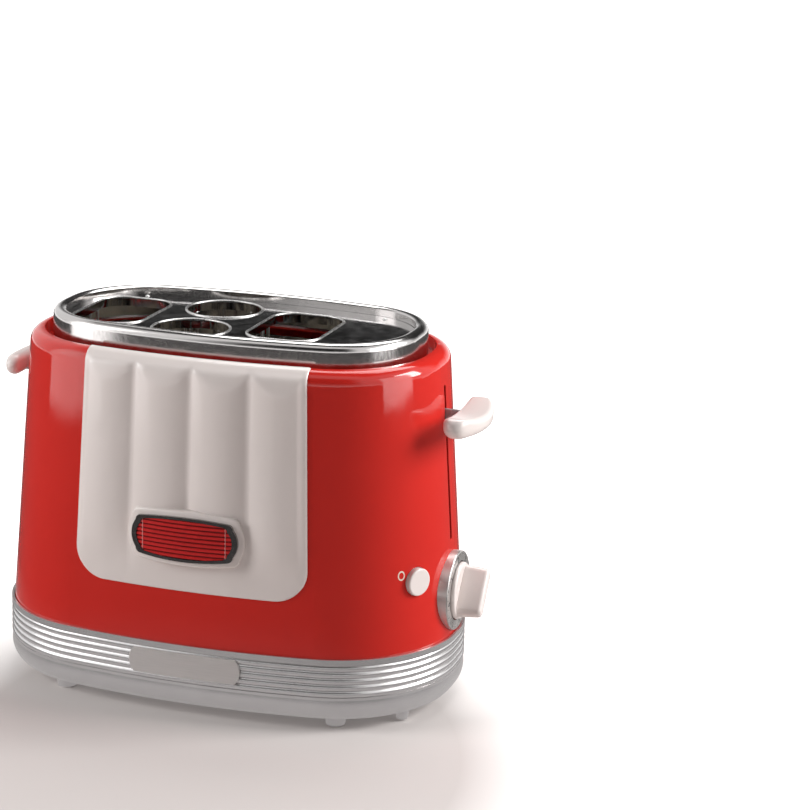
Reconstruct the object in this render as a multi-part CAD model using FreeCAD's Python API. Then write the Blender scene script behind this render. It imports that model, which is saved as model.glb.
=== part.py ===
import FreeCAD, Part

import math
import os

# Hot dog toaster: an oval painted shell on a ribbed base, two bun slots and two sausage wells in a
# steel top, one sprung lift carriage with a lever at each end, a browning dial, a stop button and a
# crumb tray. Millimetres, +Z up, +X towards the dial, the fluted panel faces -Y.
# The origin is on the floor, midway between the ends and between front and back.

V = FreeCAD.Vector

# ---- Driving dimensions -------------------------------------------------------------------------

# How far a cutting tool runs past the piece that it cuts
over = 1.0

# Plan outline of the shell's foot: half sizes and the radii of its side, corner and end arcs
foot_half_length = 130.0
foot_half_width = 77.8
foot_side_radius = 447.6
foot_corner_radius = 69.0
foot_end_radius = 284.6

# Plan outline of the shell's top
top_half_length = 118.8
top_half_width = 71.0
top_side_radius = 417.5
top_corner_radius = 61.6
top_end_radius = 339.2

# Heights above the floor
base_bottom = 7.0
base_top = 42.0
shell_top = 198.7
steel_top = 210.5

# Shell
shell_wall = 1.2
shell_seat_depth = 2.5
shoulder_radius = 7.7
moat_depth = 7.4
moat_floor_width = 8.5

# Base moulding
base_overhang = 1.7
base_wall = 2.2
base_land_height = 3.2
rib_count = 5
rib_pitch = 3.7
rib_depth = 0.9
skirt_tuck = 2.5
skirt_gap = 1.6
base_flange_width = 18.0
base_flange_thickness = 1.5
seat_clearance = 0.3
ledge_width = 4.0

# Feet and cord pegs
foot_x = 80.0
foot_y = 56.3
foot_top_radius = 6.2
foot_sole_radius = 5.2
peg_x = 112.0
peg_y = 37.5
peg_root_radius = 4.2
peg_tip_radius = 3.0
peg_floor_gap = 1.2

# Floor plate
floor_plate_thickness = 1.5
floor_plate_setback = 8.0
vent_count = 3
vent_pitch = 6.5
vent_width = 3.0
vent_length = 44.0
slit_roundness = 0.48
base_screw_x = 50.0
base_screw_y = 58.5
screw_radius = 1.6
screw_head_radius = 3.4
screw_head_height = 1.4

# Steel rim ring and slotted top plate
moat_width = 4.7
rim_width = 7.0
rim_sheet = 1.0
rim_crown_radius = 4.2
plate_drop = 5.0
plate_thickness = 1.0
plate_ledge_width = 1.8
plate_clearance = 0.3
lip_depth = 4.0
lip_thickness = 1.0
bun_slot_x = (-71.0, 33.0)
bun_slot_width = 42.0
bun_slot_length = 64.0
bun_slot_corner = 14.0
sausage_x = -19.0
sausage_y = 25.0
sausage_well_radius = 21.5

# Front panel
panel_top_half_width = 63.4
panel_foot_half_width = 67.9
panel_foot = 72.0
panel_corner_radius = 18.0
panel_step = 1.0
flute_count = 4
flute_foot_pitch = 34.6
flute_top_pitch = 32.5
flute_rise = 3.4
flute_hip_low = 188.0
flute_hip_high = 196.0
flute_hip_reach = 0.2
flute_hip_end = 198.0
flute_hip_depth = 2.5
flute_foot = 74.0
flute_fade = 26.0

# Badge on the panel and plate on the base
badge_z = 103.2
badge_width = 61.2
badge_height = 24.8
badge_bulge = 1.7
badge_end_bulge = 2.6
badge_face_radius = 150.0
badge_corner = 3.0
badge_pedestal_margin = 3.0
badge_pedestal_rise = 1.8
badge_pedestal_depth = 15.0
bezel_rise = 1.6
bezel_width = 1.5
bezel_end_width = 3.0
bezel_cup_depth = 1.2
insert_rib_count = 9
insert_rib_rise = 0.4
insert_clearance = 0.1
base_plate_width = 64.8
base_plate_height = 14.2
base_plate_z = 30.6
base_plate_bulge = 3.0
base_plate_proud = 0.9

# Chassis
chassis_sheet = 1.0
left_wall_x = -98.0
right_wall_x = 60.0
left_wall_half_width = 47.8
right_wall_half_width = 54.0
reflector_y = 47.0
reflector_sheet = 0.8
reflector_foot = 24.0
reflector_height = 164.0
rail_slot_clearance = 1.5
rail_slot_end = 3.0
rod_tab_gap = 4.0
rod_tab_half_width = 9.0

# Heaters
heater_gap = 3.0
heater_card_sheet = 0.8
heater_card_foot = 26.0
heater_card_height = 160.0
ribbon_width = 1.4
ribbon_thickness = 0.3
ribbon_pitch = 9.0
ribbon_margin = 8.0
ribbon_count = 16
ribbon_rail_gap = 2.0
ribbon_end_gap = 4.0

# Wire guards hung from the top plate
guard_wire_radius = 0.9
guard_tie_radius = 0.7
guard_foot = 26.0
guard_rows = (-15.0, -5.0, 5.0, 15.0)
well_wire_count = 8
guard_tie_height = 2.0

# Carriage
carriage_drop = 64.0
carriage_extra_lift = 9.0
tray_top = 125.0
tray_sheet = 1.2
tray_clearance = 3.0
tray_end_rise = 9.0
tray_end_margin = 6.0
tray_slot_columns = (-12.0, -6.0, 6.0, 12.0)
tray_slot_width = 3.0
tray_slot_margin = 8.0
cup_wall = 1.0
cup_height = 12.0
cup_clearance = 2.0
cup_carrier_width = 10.0
rail_thickness = 3.0
rail_depth = 10.0
guide_block_half_width = 7.0
guide_block_top = 175.5
guide_block_foot = 108.0
right_rod_x = 74.0
left_rod_x = -108.0
rod_radius = 2.5
rod_clearance = 0.08
arm_thickness = 2.0
arm_depth = 8.0
arm_middle_z = 164.5

# Levers
right_lever_reach = 146.2
left_lever_reach = 144.0
left_lever_lift = 5.0
lever_tip_x = 127.2
lever_half_span = 29.0
lever_foot = 159.5
lever_tip_top = 172.0
lever_scoop = 3.0
lever_edge_round = 4.0
lever_edge_share = 0.8
lever_corner = 6.5
lever_tip_share = 0.4
lever_slot_reach = 12.0
arm_grip_depth = 9.0
lever_slot_width = 3.0
lever_slot_foot = 94.5
lever_slot_top = 181.8

# Lift springs round the guide rods
spring_radius = 5.0
spring_wire_radius = 0.8
spring_turns = 8
spring_arcs_per_turn = 4

# Latch magnet and armature
magnet_y = 23.0
magnet_width = 14.0
magnet_depth = 12.0
magnet_coil_margin = 2.4
magnet_coil_height = 22.0
magnet_coil_gap = 2.0
magnet_gap = 0.4
armature_thickness = 2.0

# Control board and timer
board_x = 88.0
board_sheet = 1.6
board_half_width = 40.0
board_foot = 22.0
board_top = 92.0
board_tab_height = 26.0
board_tab_half_width = 34.0
timer_depth = 16.0
timer_radius = 12.0
shaft_radius = 3.0
shaft_hole_clearance = 2.0

# Dial and knob
dial_z = 65.5
dial_radius = 22.2
dial_face_x = 131.3
dial_edge_round = 0.8
knob_radius = 16.0
knob_clearance = 0.6
knob_back_gap = 1.0
knob_disc_front = 133.7
knob_front = 147.1
grip_length = 30.0
grip_thickness = 9.0
grip_draft = 1.0
grip_edge_round = 1.4
grip_turn = 37.0
shaft_grip_depth = 8.0

# Stop button
button_x = 118.2
button_y = -37.0
button_z = 80.7
button_turn = -29.46
button_radius = 7.7
button_clearance = 0.3
button_proud = 2.5
button_flange_extra = 1.2
button_flange_thickness = 1.6
button_flange_gap = 2.3
button_stem_radius = 3.0
button_travel = 2.0
button_edge_round = 1.0
button_switch_gap = 1.6
sleeve_wall = 1.6
sleeve_length = 11.0
stop_switch_depth = 9.0
stop_switch_width = 12.0

# Crumb tray
crumb_pan_floor = 1.0
crumb_pan_wall_height = 8.0
crumb_side_gap = 2.5
crumb_front_y = -54.0
crumb_lip_gap = 0.2
crumb_pull_width = 34.0
crumb_pull_height = 4.0
crumb_pull_rise = 4.5
crumb_pull_depth = 8.0

# Cord bushing in the back of the base
bushing_x = 76.0
bushing_z = 29.0
bushing_radius = 6.5
bushing_bore = 3.6
bushing_flange_radius = 8.0
bushing_flange_thickness = 1.5
bushing_length = 13.0
bushing_inset = 7.6
bushing_clearance = 0.05

# ---- Derived places -----------------------------------------------------------------------------

shell_foot = base_top - shell_seat_depth
floor_top = base_bottom + base_flange_thickness + floor_plate_thickness
moat_floor = shell_top - moat_depth
moat_wall_inset = shoulder_radius + 0.5
rim_inset = moat_wall_inset + moat_width
plate_top = steel_top - plate_drop
plate_inset = rim_inset + rim_width
lip_foot = plate_top - plate_thickness - lip_depth
wall_top = moat_floor - shell_wall
rail_top = tray_top - tray_sheet
rail_foot = rail_top - rail_depth
rib_top = base_top - base_land_height
rib_foot = rib_top - rib_count * rib_pitch
half_root = math.sqrt(0.5)
bay_edges = (
    bun_slot_x[0] - bun_slot_width / 2,
    bun_slot_x[0] + bun_slot_width / 2,
    bun_slot_x[1] - bun_slot_width / 2,
    bun_slot_x[1] + bun_slot_width / 2,
)


# ---- Geometry helpers ---------------------------------------------------------------------------


class Oval:
    """A plan outline of eight tangent arcs: two sides, two ends and four corners."""

    def __init__(self, half_length, half_width, side_radius, corner_radius, end_radius):
        self.half_length = half_length
        self.half_width = half_width
        self.side_radius = side_radius
        self.corner_radius = corner_radius
        self.end_radius = end_radius

    def inset(self, distance):
        """The parallel outline this far inside."""
        return Oval(
            self.half_length - distance,
            self.half_width - distance,
            self.side_radius - distance,
            self.corner_radius - distance,
            self.end_radius - distance,
        )

    def corner_centre(self):
        """Centre of the back right corner arc, which touches the side arc and the end arc."""
        side_centre = V(0, self.half_width - self.side_radius, 0)
        end_centre = V(self.half_length - self.end_radius, 0, 0)
        side_reach = self.side_radius - self.corner_radius
        end_reach = self.end_radius - self.corner_radius
        span = end_centre - side_centre
        along = (side_reach**2 - end_reach**2 + span.Length**2) / (2 * span.Length)
        across = math.sqrt(side_reach**2 - along**2)
        unit = span / span.Length
        return side_centre + unit * along + V(unit.y, -unit.x, 0) * across

    def arcs(self):
        """Each arc as (centre, radius, start angle, end angle) in degrees, anticlockwise."""
        corner = self.corner_centre()
        end_centre = V(self.half_length - self.end_radius, 0, 0)
        side_centre = V(0, self.half_width - self.side_radius, 0)
        low = math.degrees(math.atan2(corner.y - end_centre.y, corner.x - end_centre.x))
        high = math.degrees(math.atan2(corner.y - side_centre.y, corner.x - side_centre.x))
        result = []
        for turn, flip in ((0, 1), (180, -1)):
            result.append((end_centre * flip, self.end_radius, turn - low, turn + low))
            result.append((corner * flip, self.corner_radius, turn + low, turn + high))
            result.append((side_centre * flip, self.side_radius, turn + high, turn + 180 - high))
            mirrored = V(-corner.x, corner.y, 0) * flip
            result.append((mirrored, self.corner_radius, turn + 180 - high, turn + 180 - low))
        return result

    def wire(self, z):
        edges = []
        for centre, radius, start, end in self.arcs():
            points = [centre + heading(a) * radius + V(0, 0, z) for a in (start, (start + end) / 2, end)]
            edges.append(Part.Arc(*points).toShape())
        return Part.Wire(edges)

    def prism(self, z_low, z_high):
        return Part.Face(self.wire(z_low)).extrude(V(0, 0, z_high - z_low))

    def skirt(self, start, moves):
        """The faces that a path of (distance outside the outline, height) makes all the way round."""
        faces = []
        for centre, radius, start_angle, end_angle in self.arcs():
            outward = heading(start_angle)
            edges = path_edges(start, moves, lambda p: centre + outward * (radius + p[0]) + V(0, 0, p[1]))
            faces += [edge.revolve(centre, V(0, 0, 1), end_angle - start_angle) for edge in edges]
        return faces

    def band(self, start, moves):
        """The solid ring that a closed section makes all the way round."""
        return solid_from(self.skirt(start, list(moves) + [(start,)]))


def heading(angle):
    return V(math.cos(math.radians(angle)), math.sin(math.radians(angle)), 0)


def path_edges(start, moves, place):
    """Edges along a path: a move of one point is a line, a move of two is an arc through the first."""
    edges = []
    here = start
    for move in moves:
        if len(move) == 2:
            edges.append(Part.Arc(place(here), place(move[0]), place(move[1])).toShape())
        elif move[0] != here:
            edges.append(Part.LineSegment(place(here), place(move[0])).toShape())
        here = move[-1]
    return edges


def flat_wire(start, moves, place):
    return Part.Wire(path_edges(start, list(moves) + [(start,)], place))


def solid_from(faces):
    """The solid that a closed set of faces encloses."""
    shell = Part.Shell(faces)
    shell.sewShape()
    solid = Part.Solid(shell)
    if solid.Volume < 0:
        solid.reverse()
    return solid


def wall_faces(low_wire, high_wire):
    return Part.makeLoft([low_wire, high_wire], False, True).Faces


def flat_face(start, moves, place):
    return Part.Face(flat_wire(start, moves, place))


def fuse(shapes):
    shapes = list(shapes)
    if len(shapes) == 1:
        return shapes[0]
    return shapes[0].fuse(shapes[1:]).removeSplitter()


def cut(shape, tools):
    return shape.cut(list(tools))


def block(x_low, x_high, y_low, y_high, z_low, z_high):
    return Part.makeBox(x_high - x_low, y_high - y_low, z_high - z_low, V(x_low, y_low, z_low))


def post(x, y, z_low, z_high, radius):
    return Part.makeCylinder(radius, z_high - z_low, V(x, y, z_low))


def cone(x, y, z_low, z_high, radius_low, radius_high):
    return Part.makeCone(radius_low, radius_high, z_high - z_low, V(x, y, z_low))


def spindle(x_low, x_high, y, z, radius):
    """A cylinder along X."""
    return Part.makeCylinder(radius, x_high - x_low, V(x_low, y, z), V(1, 0, 0))


def rounded_wire(x, y, z, width, length, radius):
    """A rounded rectangle in plan, width along X and length along Y."""
    half_x = width / 2
    half_y = length / 2
    slack = radius * (1 - half_root)
    moves = [
        ((x + half_x - radius, y - half_y),),
        ((x + half_x - slack, y - half_y + slack), (x + half_x, y - half_y + radius)),
        ((x + half_x, y + half_y - radius),),
        ((x + half_x - slack, y + half_y - slack), (x + half_x - radius, y + half_y)),
        ((x - half_x + radius, y + half_y),),
        ((x - half_x + slack, y + half_y - slack), (x - half_x, y + half_y - radius)),
        ((x - half_x, y - half_y + radius),),
        ((x - half_x + slack, y - half_y + slack), (x - half_x + radius, y - half_y)),
    ]
    return flat_wire((x - half_x + radius, y - half_y), moves, lambda p: V(p[0], p[1], z))


def rounded_prism(x, y, z_low, z_high, width, length, radius):
    return Part.Face(rounded_wire(x, y, z_low, width, length, radius)).extrude(V(0, 0, z_high - z_low))


def slit(x, y, top, width, length):
    """A cutting tool for a slit with nearly round ends, from the floor up through a sheet."""
    return rounded_prism(x, y, 0, top + over, width, length, slit_roundness * width)


def edges_at(shape, z):
    """The edges that lie in one horizontal plane."""
    return [e for e in shape.Edges if all(abs(v.Z - z) < 0.01 for v in e.Vertexes)]


def save(name, shape):
    shape.exportStep(f"parts/{name}.step")
    print(f"{name}: {len(shape.Solids)} solid(s), {shape.Volume / 1000:.2f} cm3, valid {shape.isValid()}")


foot_oval = Oval(foot_half_length, foot_half_width, foot_side_radius, foot_corner_radius, foot_end_radius)
top_oval = Oval(top_half_length, top_half_width, top_side_radius, top_corner_radius, top_end_radius)


shoulder_z = shell_top - shoulder_radius


def shoulder_arc(radius, inset_low, inset_high):
    """Two points of the shoulder's arc: midway and at the end, for an arc of this radius."""
    points = []
    low = math.acos((shoulder_radius - inset_low) / radius)
    high = math.acos((shoulder_radius - inset_high) / radius)
    for angle in ((low + high) / 2, high):
        points.append((-shoulder_radius + radius * math.cos(angle), shoulder_z + radius * math.sin(angle)))
    return tuple(points)


def body_form(inset):
    """The solid inside the shell's outer surface, or inside a surface parallel to it."""
    radius = shoulder_radius - inset
    low = foot_oval.inset(inset)
    high = top_oval.inset(inset)
    faces = wall_faces(low.wire(shell_foot), high.wire(shoulder_z))
    faces += top_oval.skirt((-inset, shoulder_z), [shoulder_arc(radius, inset, shoulder_radius)])
    faces.append(Part.Face(low.wire(shell_foot)))
    faces.append(Part.Face(top_oval.inset(shoulder_radius).wire(shoulder_z + radius)))
    return solid_from(faces)


def wall_offset(z):
    """How far the front wall has leaned in at a height, measured from the foot."""
    return (foot_half_width - top_half_width) * (z - shell_foot) / (shoulder_z - shell_foot)


# ---- Shell, base and feet -----------------------------------------------------------------------


def outer_shell():
    """Leaning wall, rounded shoulder, the wall of the moat and the moat floor that carries the rim."""
    t = shell_wall
    radius = shoulder_radius - t
    lip = -moat_wall_inset + t
    reach = -moat_wall_inset - moat_floor_width
    under = shoulder_arc(radius, t, -lip)
    back = shoulder_arc(radius, -lip, t)
    faces = wall_faces(foot_oval.wire(shell_foot), top_oval.wire(shoulder_z))
    faces += wall_faces(foot_oval.inset(t).wire(shell_foot), top_oval.inset(t).wire(shoulder_z))
    faces += foot_oval.skirt((0, shell_foot), [((-t, shell_foot),)])
    faces += top_oval.skirt(
        (0, shoulder_z),
        [
            shoulder_arc(shoulder_radius, 0, shoulder_radius),
            ((-moat_wall_inset, shell_top),),
            ((-moat_wall_inset, moat_floor),),
            ((reach, moat_floor),),
            ((reach, moat_floor - t),),
            ((lip, moat_floor - t),),
            (under[1],),
            back,
        ],
    )
    shell = solid_from(faces)
    half = lever_slot_width / 2
    slots = []
    for side in (-1, 1):
        ends = [z + lever_lift(side) for z in (lever_slot_foot + half, lever_slot_top - half)]
        near = side * top_half_length - lever_slot_reach
        far = side * top_half_length + lever_slot_reach
        rounds = [spindle(near, far, 0, z, half) for z in ends]
        slots.append(fuse([block(near, far, -half, half, *ends)] + rounds))
    shaft_hole = spindle(top_half_length, dial_face_x, 0, dial_z, shaft_radius + shaft_hole_clearance)
    button_hole = along_button(-sleeve_length, sleeve_length, button_radius + button_clearance)
    return cut(shell, slots + [shaft_hole, button_hole])


def base_section():
    """The base moulding's section, from the lip round the shell's foot down to the floor flange."""
    rim = base_overhang
    valley = base_overhang - rib_depth
    step = valley + rib_depth / 2
    skirt_top = rib_foot - skirt_gap
    inside = base_overhang - rib_depth - base_wall
    shrink = 1 - base_wall / (skirt_top - base_bottom)
    moves = [((rim, base_top),), ((rim, rib_top),), ((valley, rib_top),)]
    for i in range(rib_count):
        z = rib_top - i * rib_pitch
        moves.append(((rim, z - rib_pitch / 2), (valley, z - rib_pitch)))
    belly = (1 - half_root) * (skirt_tuck + step)
    drop = half_root * (skirt_top - base_bottom)
    moves += [
        ((step, rib_foot),),
        ((step, skirt_top),),
        ((step - belly, skirt_top - drop), (-skirt_tuck, base_bottom)),
        ((-skirt_tuck - base_flange_width, base_bottom),),
        ((-skirt_tuck - base_flange_width, base_bottom + base_flange_thickness),),
        ((-skirt_tuck - base_wall, base_bottom + base_flange_thickness),),
        ((inside - belly * shrink, skirt_top - drop * shrink), (inside, skirt_top + skirt_gap)),
        ((inside, shell_foot - base_wall),),
        ((inside - ledge_width, shell_foot - base_wall),),
        ((inside - ledge_width, shell_foot),),
        ((seat_clearance, shell_foot),),
        ((seat_clearance, base_top),),
    ]
    return (seat_clearance, base_top), moves


def tray_mouth(gap):
    """The opening in the back of the base that the crumb tray closes, less a gap all round."""
    return block(
        left_wall_x + chassis_sheet + gap,
        right_wall_x - gap,
        foot_half_width / 2,
        foot_half_width + base_overhang + over,
        floor_top - crumb_lip_gap + gap,
        rib_foot - gap,
    )


def base_ring():
    start, moves = base_section()
    return foot_oval.band(start, moves)


def base_moulding(ring):
    start = V(bushing_x, foot_half_width / 2, bushing_z)
    bushing_hole = Part.makeCylinder(bushing_radius, foot_half_width, start, V(0, 1, 0))
    holes = [post(x, y, 0, floor_top, screw_radius) for x, y in screw_places()]
    return cut(ring, [tray_mouth(0), bushing_hole] + holes)


def screw_places():
    return [(x, y) for x in (-base_screw_x, base_screw_x) for y in (-base_screw_y, base_screw_y)]


def feet():
    places = [(x, y) for x in (-foot_x, foot_x) for y in (-foot_y, foot_y)]
    stubs = [cone(x, y, 0, base_bottom, foot_sole_radius, foot_top_radius) for x, y in places]
    return Part.makeCompound(stubs)


def cord_pegs():
    places = ((peg_x, -peg_y), (-peg_x, peg_y))
    pegs = [cone(x, y, peg_floor_gap, base_bottom, peg_tip_radius, peg_root_radius) for x, y in places]
    return Part.makeCompound(pegs)


def floor_plate():
    low = base_bottom + base_flange_thickness
    sheet = foot_oval.inset(floor_plate_setback).prism(low, floor_top)
    holes = [post(x, y, 0, floor_top + over, screw_radius) for x, y in screw_places()]
    for i in range(vent_count):
        x = board_x + vent_pitch * (i + 0.5)
        holes.append(slit(x, 0, floor_top, vent_width, vent_length))
    tab = block(
        board_x - floor_plate_thickness,
        board_x,
        -board_tab_half_width,
        board_tab_half_width,
        floor_top - floor_plate_thickness,
        floor_top + board_tab_height,
    )
    return fuse([cut(sheet, holes), tab])


def base_screws():
    screws = []
    for x, y in screw_places():
        head = post(x, y, base_bottom - screw_head_height, base_bottom, screw_head_radius)
        stem = post(x, y, base_bottom - screw_head_height, floor_top - seat_clearance, screw_radius)
        screws.append(fuse([head, stem]))
    return Part.makeCompound(screws)


def cord_bushing():
    """A rubber sleeve through the base's back wall, flanged inside, that the mains lead leaves by."""
    inner_y = foot_half_width - bushing_x**2 / (2 * foot_side_radius) - bushing_inset
    start = V(bushing_x, inner_y, bushing_z)
    along = V(0, 1, 0)
    barrel = Part.makeCylinder(bushing_radius - bushing_clearance, bushing_length, start, along)
    flange = Part.makeCylinder(bushing_flange_radius, bushing_flange_thickness, start, along)
    return fuse([barrel, flange]).cut(Part.makeCylinder(bushing_bore, bushing_length, start, along))


# ---- Steel top ----------------------------------------------------------------------------------


def rim_ring():
    """Outer wall, rounded crown, inner drop and the ledge that the slotted plate lies on."""
    t = rim_sheet
    w = rim_width
    r = rim_crown_radius
    high = steel_top
    ledge = plate_top - plate_thickness
    moves = [
        ((0, high - r),),
        crown_to(w, r, high),
        ((-w, ledge),),
        ((-w - plate_ledge_width, ledge),),
        ((-w - plate_ledge_width, ledge - t),),
        ((-w + t, ledge - t),),
        (crown_back(w - 2 * t, r - t, high - t)[0],),
        crown_back(w - 2 * t, r - t, high - t)[1:],
        ((-t, moat_floor),),
    ]
    return top_oval.inset(rim_inset).band((0, moat_floor), moves)


def crown_to(width, radius, high):
    """The crown's arc from the outer wall as far as the ring's inner edge: midway and end."""
    points = []
    whole = math.acos((radius - width) / radius)
    for angle in (whole / 2, whole):
        points.append((-radius + radius * math.cos(angle), high - radius + radius * math.sin(angle)))
    return tuple(points)


def crown_back(width, radius, high):
    """The under side of the crown: its end, its middle and its start at the outer wall."""
    middle, end = crown_to(width, radius, high)
    t = rim_sheet
    return (end[0] - t, end[1]), (middle[0] - t, middle[1]), (-t, high - radius)


def slot_openings(z_low, z_high, margin):
    """The bun slots and sausage wells as solid prisms, grown by a margin."""
    shapes = []
    for x in bun_slot_x:
        width = bun_slot_width + 2 * margin
        length = bun_slot_length + 2 * margin
        shapes.append(rounded_prism(x, 0, z_low, z_high, width, length, bun_slot_corner + margin))
    for side in (-1, 1):
        shapes.append(post(sausage_x, side * sausage_y, z_low, z_high, sausage_well_radius + margin))
    return shapes


def slot_plate():
    sheet = top_oval.inset(plate_inset + plate_clearance).prism(plate_top - plate_thickness, plate_top)
    lips = slot_openings(lip_foot, plate_top, lip_thickness)
    return cut(fuse([sheet] + lips), slot_openings(lip_foot - over, plate_top + over, 0))


# ---- Front panel, badge and base plate ----------------------------------------------------------


def panel_region():
    top = shell_top + over
    r = panel_corner_radius
    w = panel_foot_half_width
    slack = r * (1 - half_root)
    start = (-panel_top_half_width, top)
    moves = [
        ((panel_top_half_width, top),),
        ((w, panel_foot + r),),
        ((w - slack, panel_foot + slack), (w - r, panel_foot)),
        ((-w + r, panel_foot),),
        ((-w + slack, panel_foot + slack), (-w, panel_foot + r)),
    ]
    return front_region(start, moves)


def front_region(start, moves):
    """An outline in the XZ plane as a solid through the front wall and all that stands on it."""
    return flat_face(start, moves, lambda p: V(p[0], -2 * foot_half_width, p[1])).extrude(
        V(0, 2 * foot_half_width, 0)
    )


def flute_profile(radius, length):
    """Half of a flute's section along its middle: a straight column on a foot that fades inwards."""
    bend = (flute_fade**2 + flute_rise**2) / (2 * flute_rise)
    half_turn = math.asin(flute_fade / bend) / 2
    middle = (radius - bend + bend * math.cos(half_turn), flute_fade - bend * math.sin(half_turn))
    moves = [
        ((radius - flute_rise, 0),),
        (middle, (radius, flute_fade)),
        ((radius, length),),
        ((0, length),),
    ]
    return flat_face((0, 0), moves, lambda p: V(p[0], 0, p[1]))


def flute(index):
    """One convex flute: a leaning column that stands out of the panel and fades out at its foot."""
    half_pitch = flute_foot_pitch / 2
    radius = (half_pitch**2 + flute_rise**2) / (2 * flute_rise)
    place = index - (flute_count - 1) / 2
    closing = (flute_top_pitch - flute_foot_pitch) / (shell_top - panel_foot)
    lean = math.atan((foot_half_width - top_half_width) / (shoulder_z - shell_foot))
    middle_z = (flute_foot + shell_top) / 2
    x = place * (flute_foot_pitch + closing * (middle_z - panel_foot))
    sag = x**2 / (foot_side_radius + top_side_radius)
    surface = foot_half_width - wall_offset(middle_z) - sag
    length = (shell_top - flute_foot) / math.cos(lean)
    column = flute_profile(radius, length).revolve(V(0, 0, 0), V(0, 0, 1), 360)
    column.translate(V(0, 0, -length / 2))
    column.rotate(V(0, 0, 0), V(0, 1, 0), math.degrees(math.atan(place * closing)))
    column.rotate(V(0, 0, 0), V(1, 0, 0), -math.degrees(lean))
    column.translate(V(x, -surface - panel_step - flute_rise + radius, middle_z))
    return column


def flute_hip():
    """The ring that bevels the tops of the flutes down to the panel's shoulder."""
    crest = panel_step + flute_rise + over
    inner = shoulder_radius + 2 * flute_hip_depth
    moves = [
        ((flute_hip_reach, flute_hip_high),),
        ((-flute_hip_depth, flute_hip_end),),
        ((-inner, flute_hip_end),),
        ((-inner, shell_top + 2 * over),),
        ((crest, shell_top + 2 * over),),
    ]
    return top_oval.band((crest, flute_hip_low), moves)


def badge_outline(inset, end_inset, y):
    """A rounded rectangle whose sides bow outwards, standing in the XZ plane about the badge."""
    full = badge_height / 2 - badge_bulge
    a = badge_width / 2 - badge_end_bulge - end_inset
    b = full - inset
    corner = badge_corner * b / full
    slack = corner * (1 - half_root)
    start = (-a + corner, -b)
    moves = [
        ((0, -b - badge_bulge), (a - corner, -b)),
        ((a - slack, -b + slack), (a, -b + corner)),
        ((a + badge_end_bulge, 0), (a, b - corner)),
        ((a - slack, b - slack), (a - corner, b)),
        ((0, b + badge_bulge), (-a + corner, b)),
        ((-a + slack, b - slack), (-a, b - corner)),
        ((-a - badge_end_bulge, 0), (-a, -b + corner)),
        ((-a + slack, -b + slack), (-a + corner, -b)),
    ]
    return flat_face(start, moves, lambda p: V(p[0], y, badge_z + p[1]))


def badge_layer(inset, end_inset, sink, depth):
    """A sheet of the badge's outline, bent about an upright axis, this far behind the badge's face."""
    front = badge_front(badge_pedestal_rise + bezel_rise)
    axis_y = front + badge_face_radius
    radius = badge_face_radius - sink
    prism = badge_outline(inset, end_inset, front - 2 * over).extrude(V(0, 2 * badge_pedestal_depth, 0))
    low = badge_z - badge_height
    high = badge_z + badge_height
    inner = post(0, axis_y, low - over, high + over, radius - depth)
    return prism.common(post(0, axis_y, low, high, radius).cut(inner))


def badge_front(rise):
    """Y of a plane in front of the flute crests at the badge."""
    return -(foot_half_width - wall_offset(badge_z) + panel_step + flute_rise + rise)


def front_panel():
    pad = body_form(-panel_step)
    margin = -badge_pedestal_margin
    pedestal = badge_layer(margin, margin, bezel_rise, badge_pedestal_depth)
    flutes = fuse([flute(i) for i in range(flute_count)]).cut(flute_hip())
    raised = fuse([pad, flutes, pedestal])
    opening = top_oval.inset(shoulder_radius).prism(panel_foot, shell_top + 2 * over)
    return raised.common(panel_region()).cut(body_form(0)).cut(opening)


def badge_bezel():
    frame = badge_layer(0, 0, 0, bezel_rise)
    return frame.cut(badge_layer(bezel_width, bezel_end_width, -over, over + bezel_cup_depth))


def badge_insert():
    """The red face of the badge, with plain ribs across it."""
    insets = (bezel_width + insert_clearance, bezel_end_width + insert_clearance)
    sheet_sink = 2 * insert_rib_rise
    sheet = badge_layer(*insets, sheet_sink, bezel_cup_depth - sheet_sink)
    front = badge_front(badge_pedestal_rise + bezel_rise)
    back = front + badge_pedestal_depth
    pitch = (badge_height - 2 * bezel_width) / insert_rib_count
    ribs = []
    for i in range(insert_rib_count):
        low = badge_z + (i - (insert_rib_count - 1) / 2) * pitch - pitch / 4
        ribs.append(block(-badge_width, badge_width, front, back, low, low + pitch / 2))
    ridges = fuse(ribs).common(badge_layer(*insets, insert_rib_rise, bezel_cup_depth - insert_rib_rise))
    return fuse([sheet, ridges])


def base_plate():
    """A bare plate across the ribs, with bowed ends."""
    outer = base_overhang + base_plate_proud
    inner = base_overhang
    a = base_plate_width / 2
    b = base_plate_height / 2
    near = a - base_plate_bulge
    z = base_plate_z
    low = z - b - over
    high = z + b + over
    band = foot_oval.band((outer, low), [((outer, high),), ((inner, high),), ((inner, low),)])
    moves = [
        ((near, z - b),),
        ((a, z), (near, z + b)),
        ((-near, z + b),),
        ((-a, z), (-near, z - b)),
    ]
    return band.common(front_region((-near, z - b), moves))


# ---- Chassis, heaters and guards ----------------------------------------------------------------


def rail_slot(x):
    """The upright slot in a wall or card at x that the carriage rail runs in."""
    half = rail_thickness / 2 + rail_slot_clearance
    low = rail_foot - carriage_drop - rail_slot_end
    high = rail_top + carriage_extra_lift + rail_slot_end
    return block(x - over, x + over, -half, half, low, high)


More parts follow.
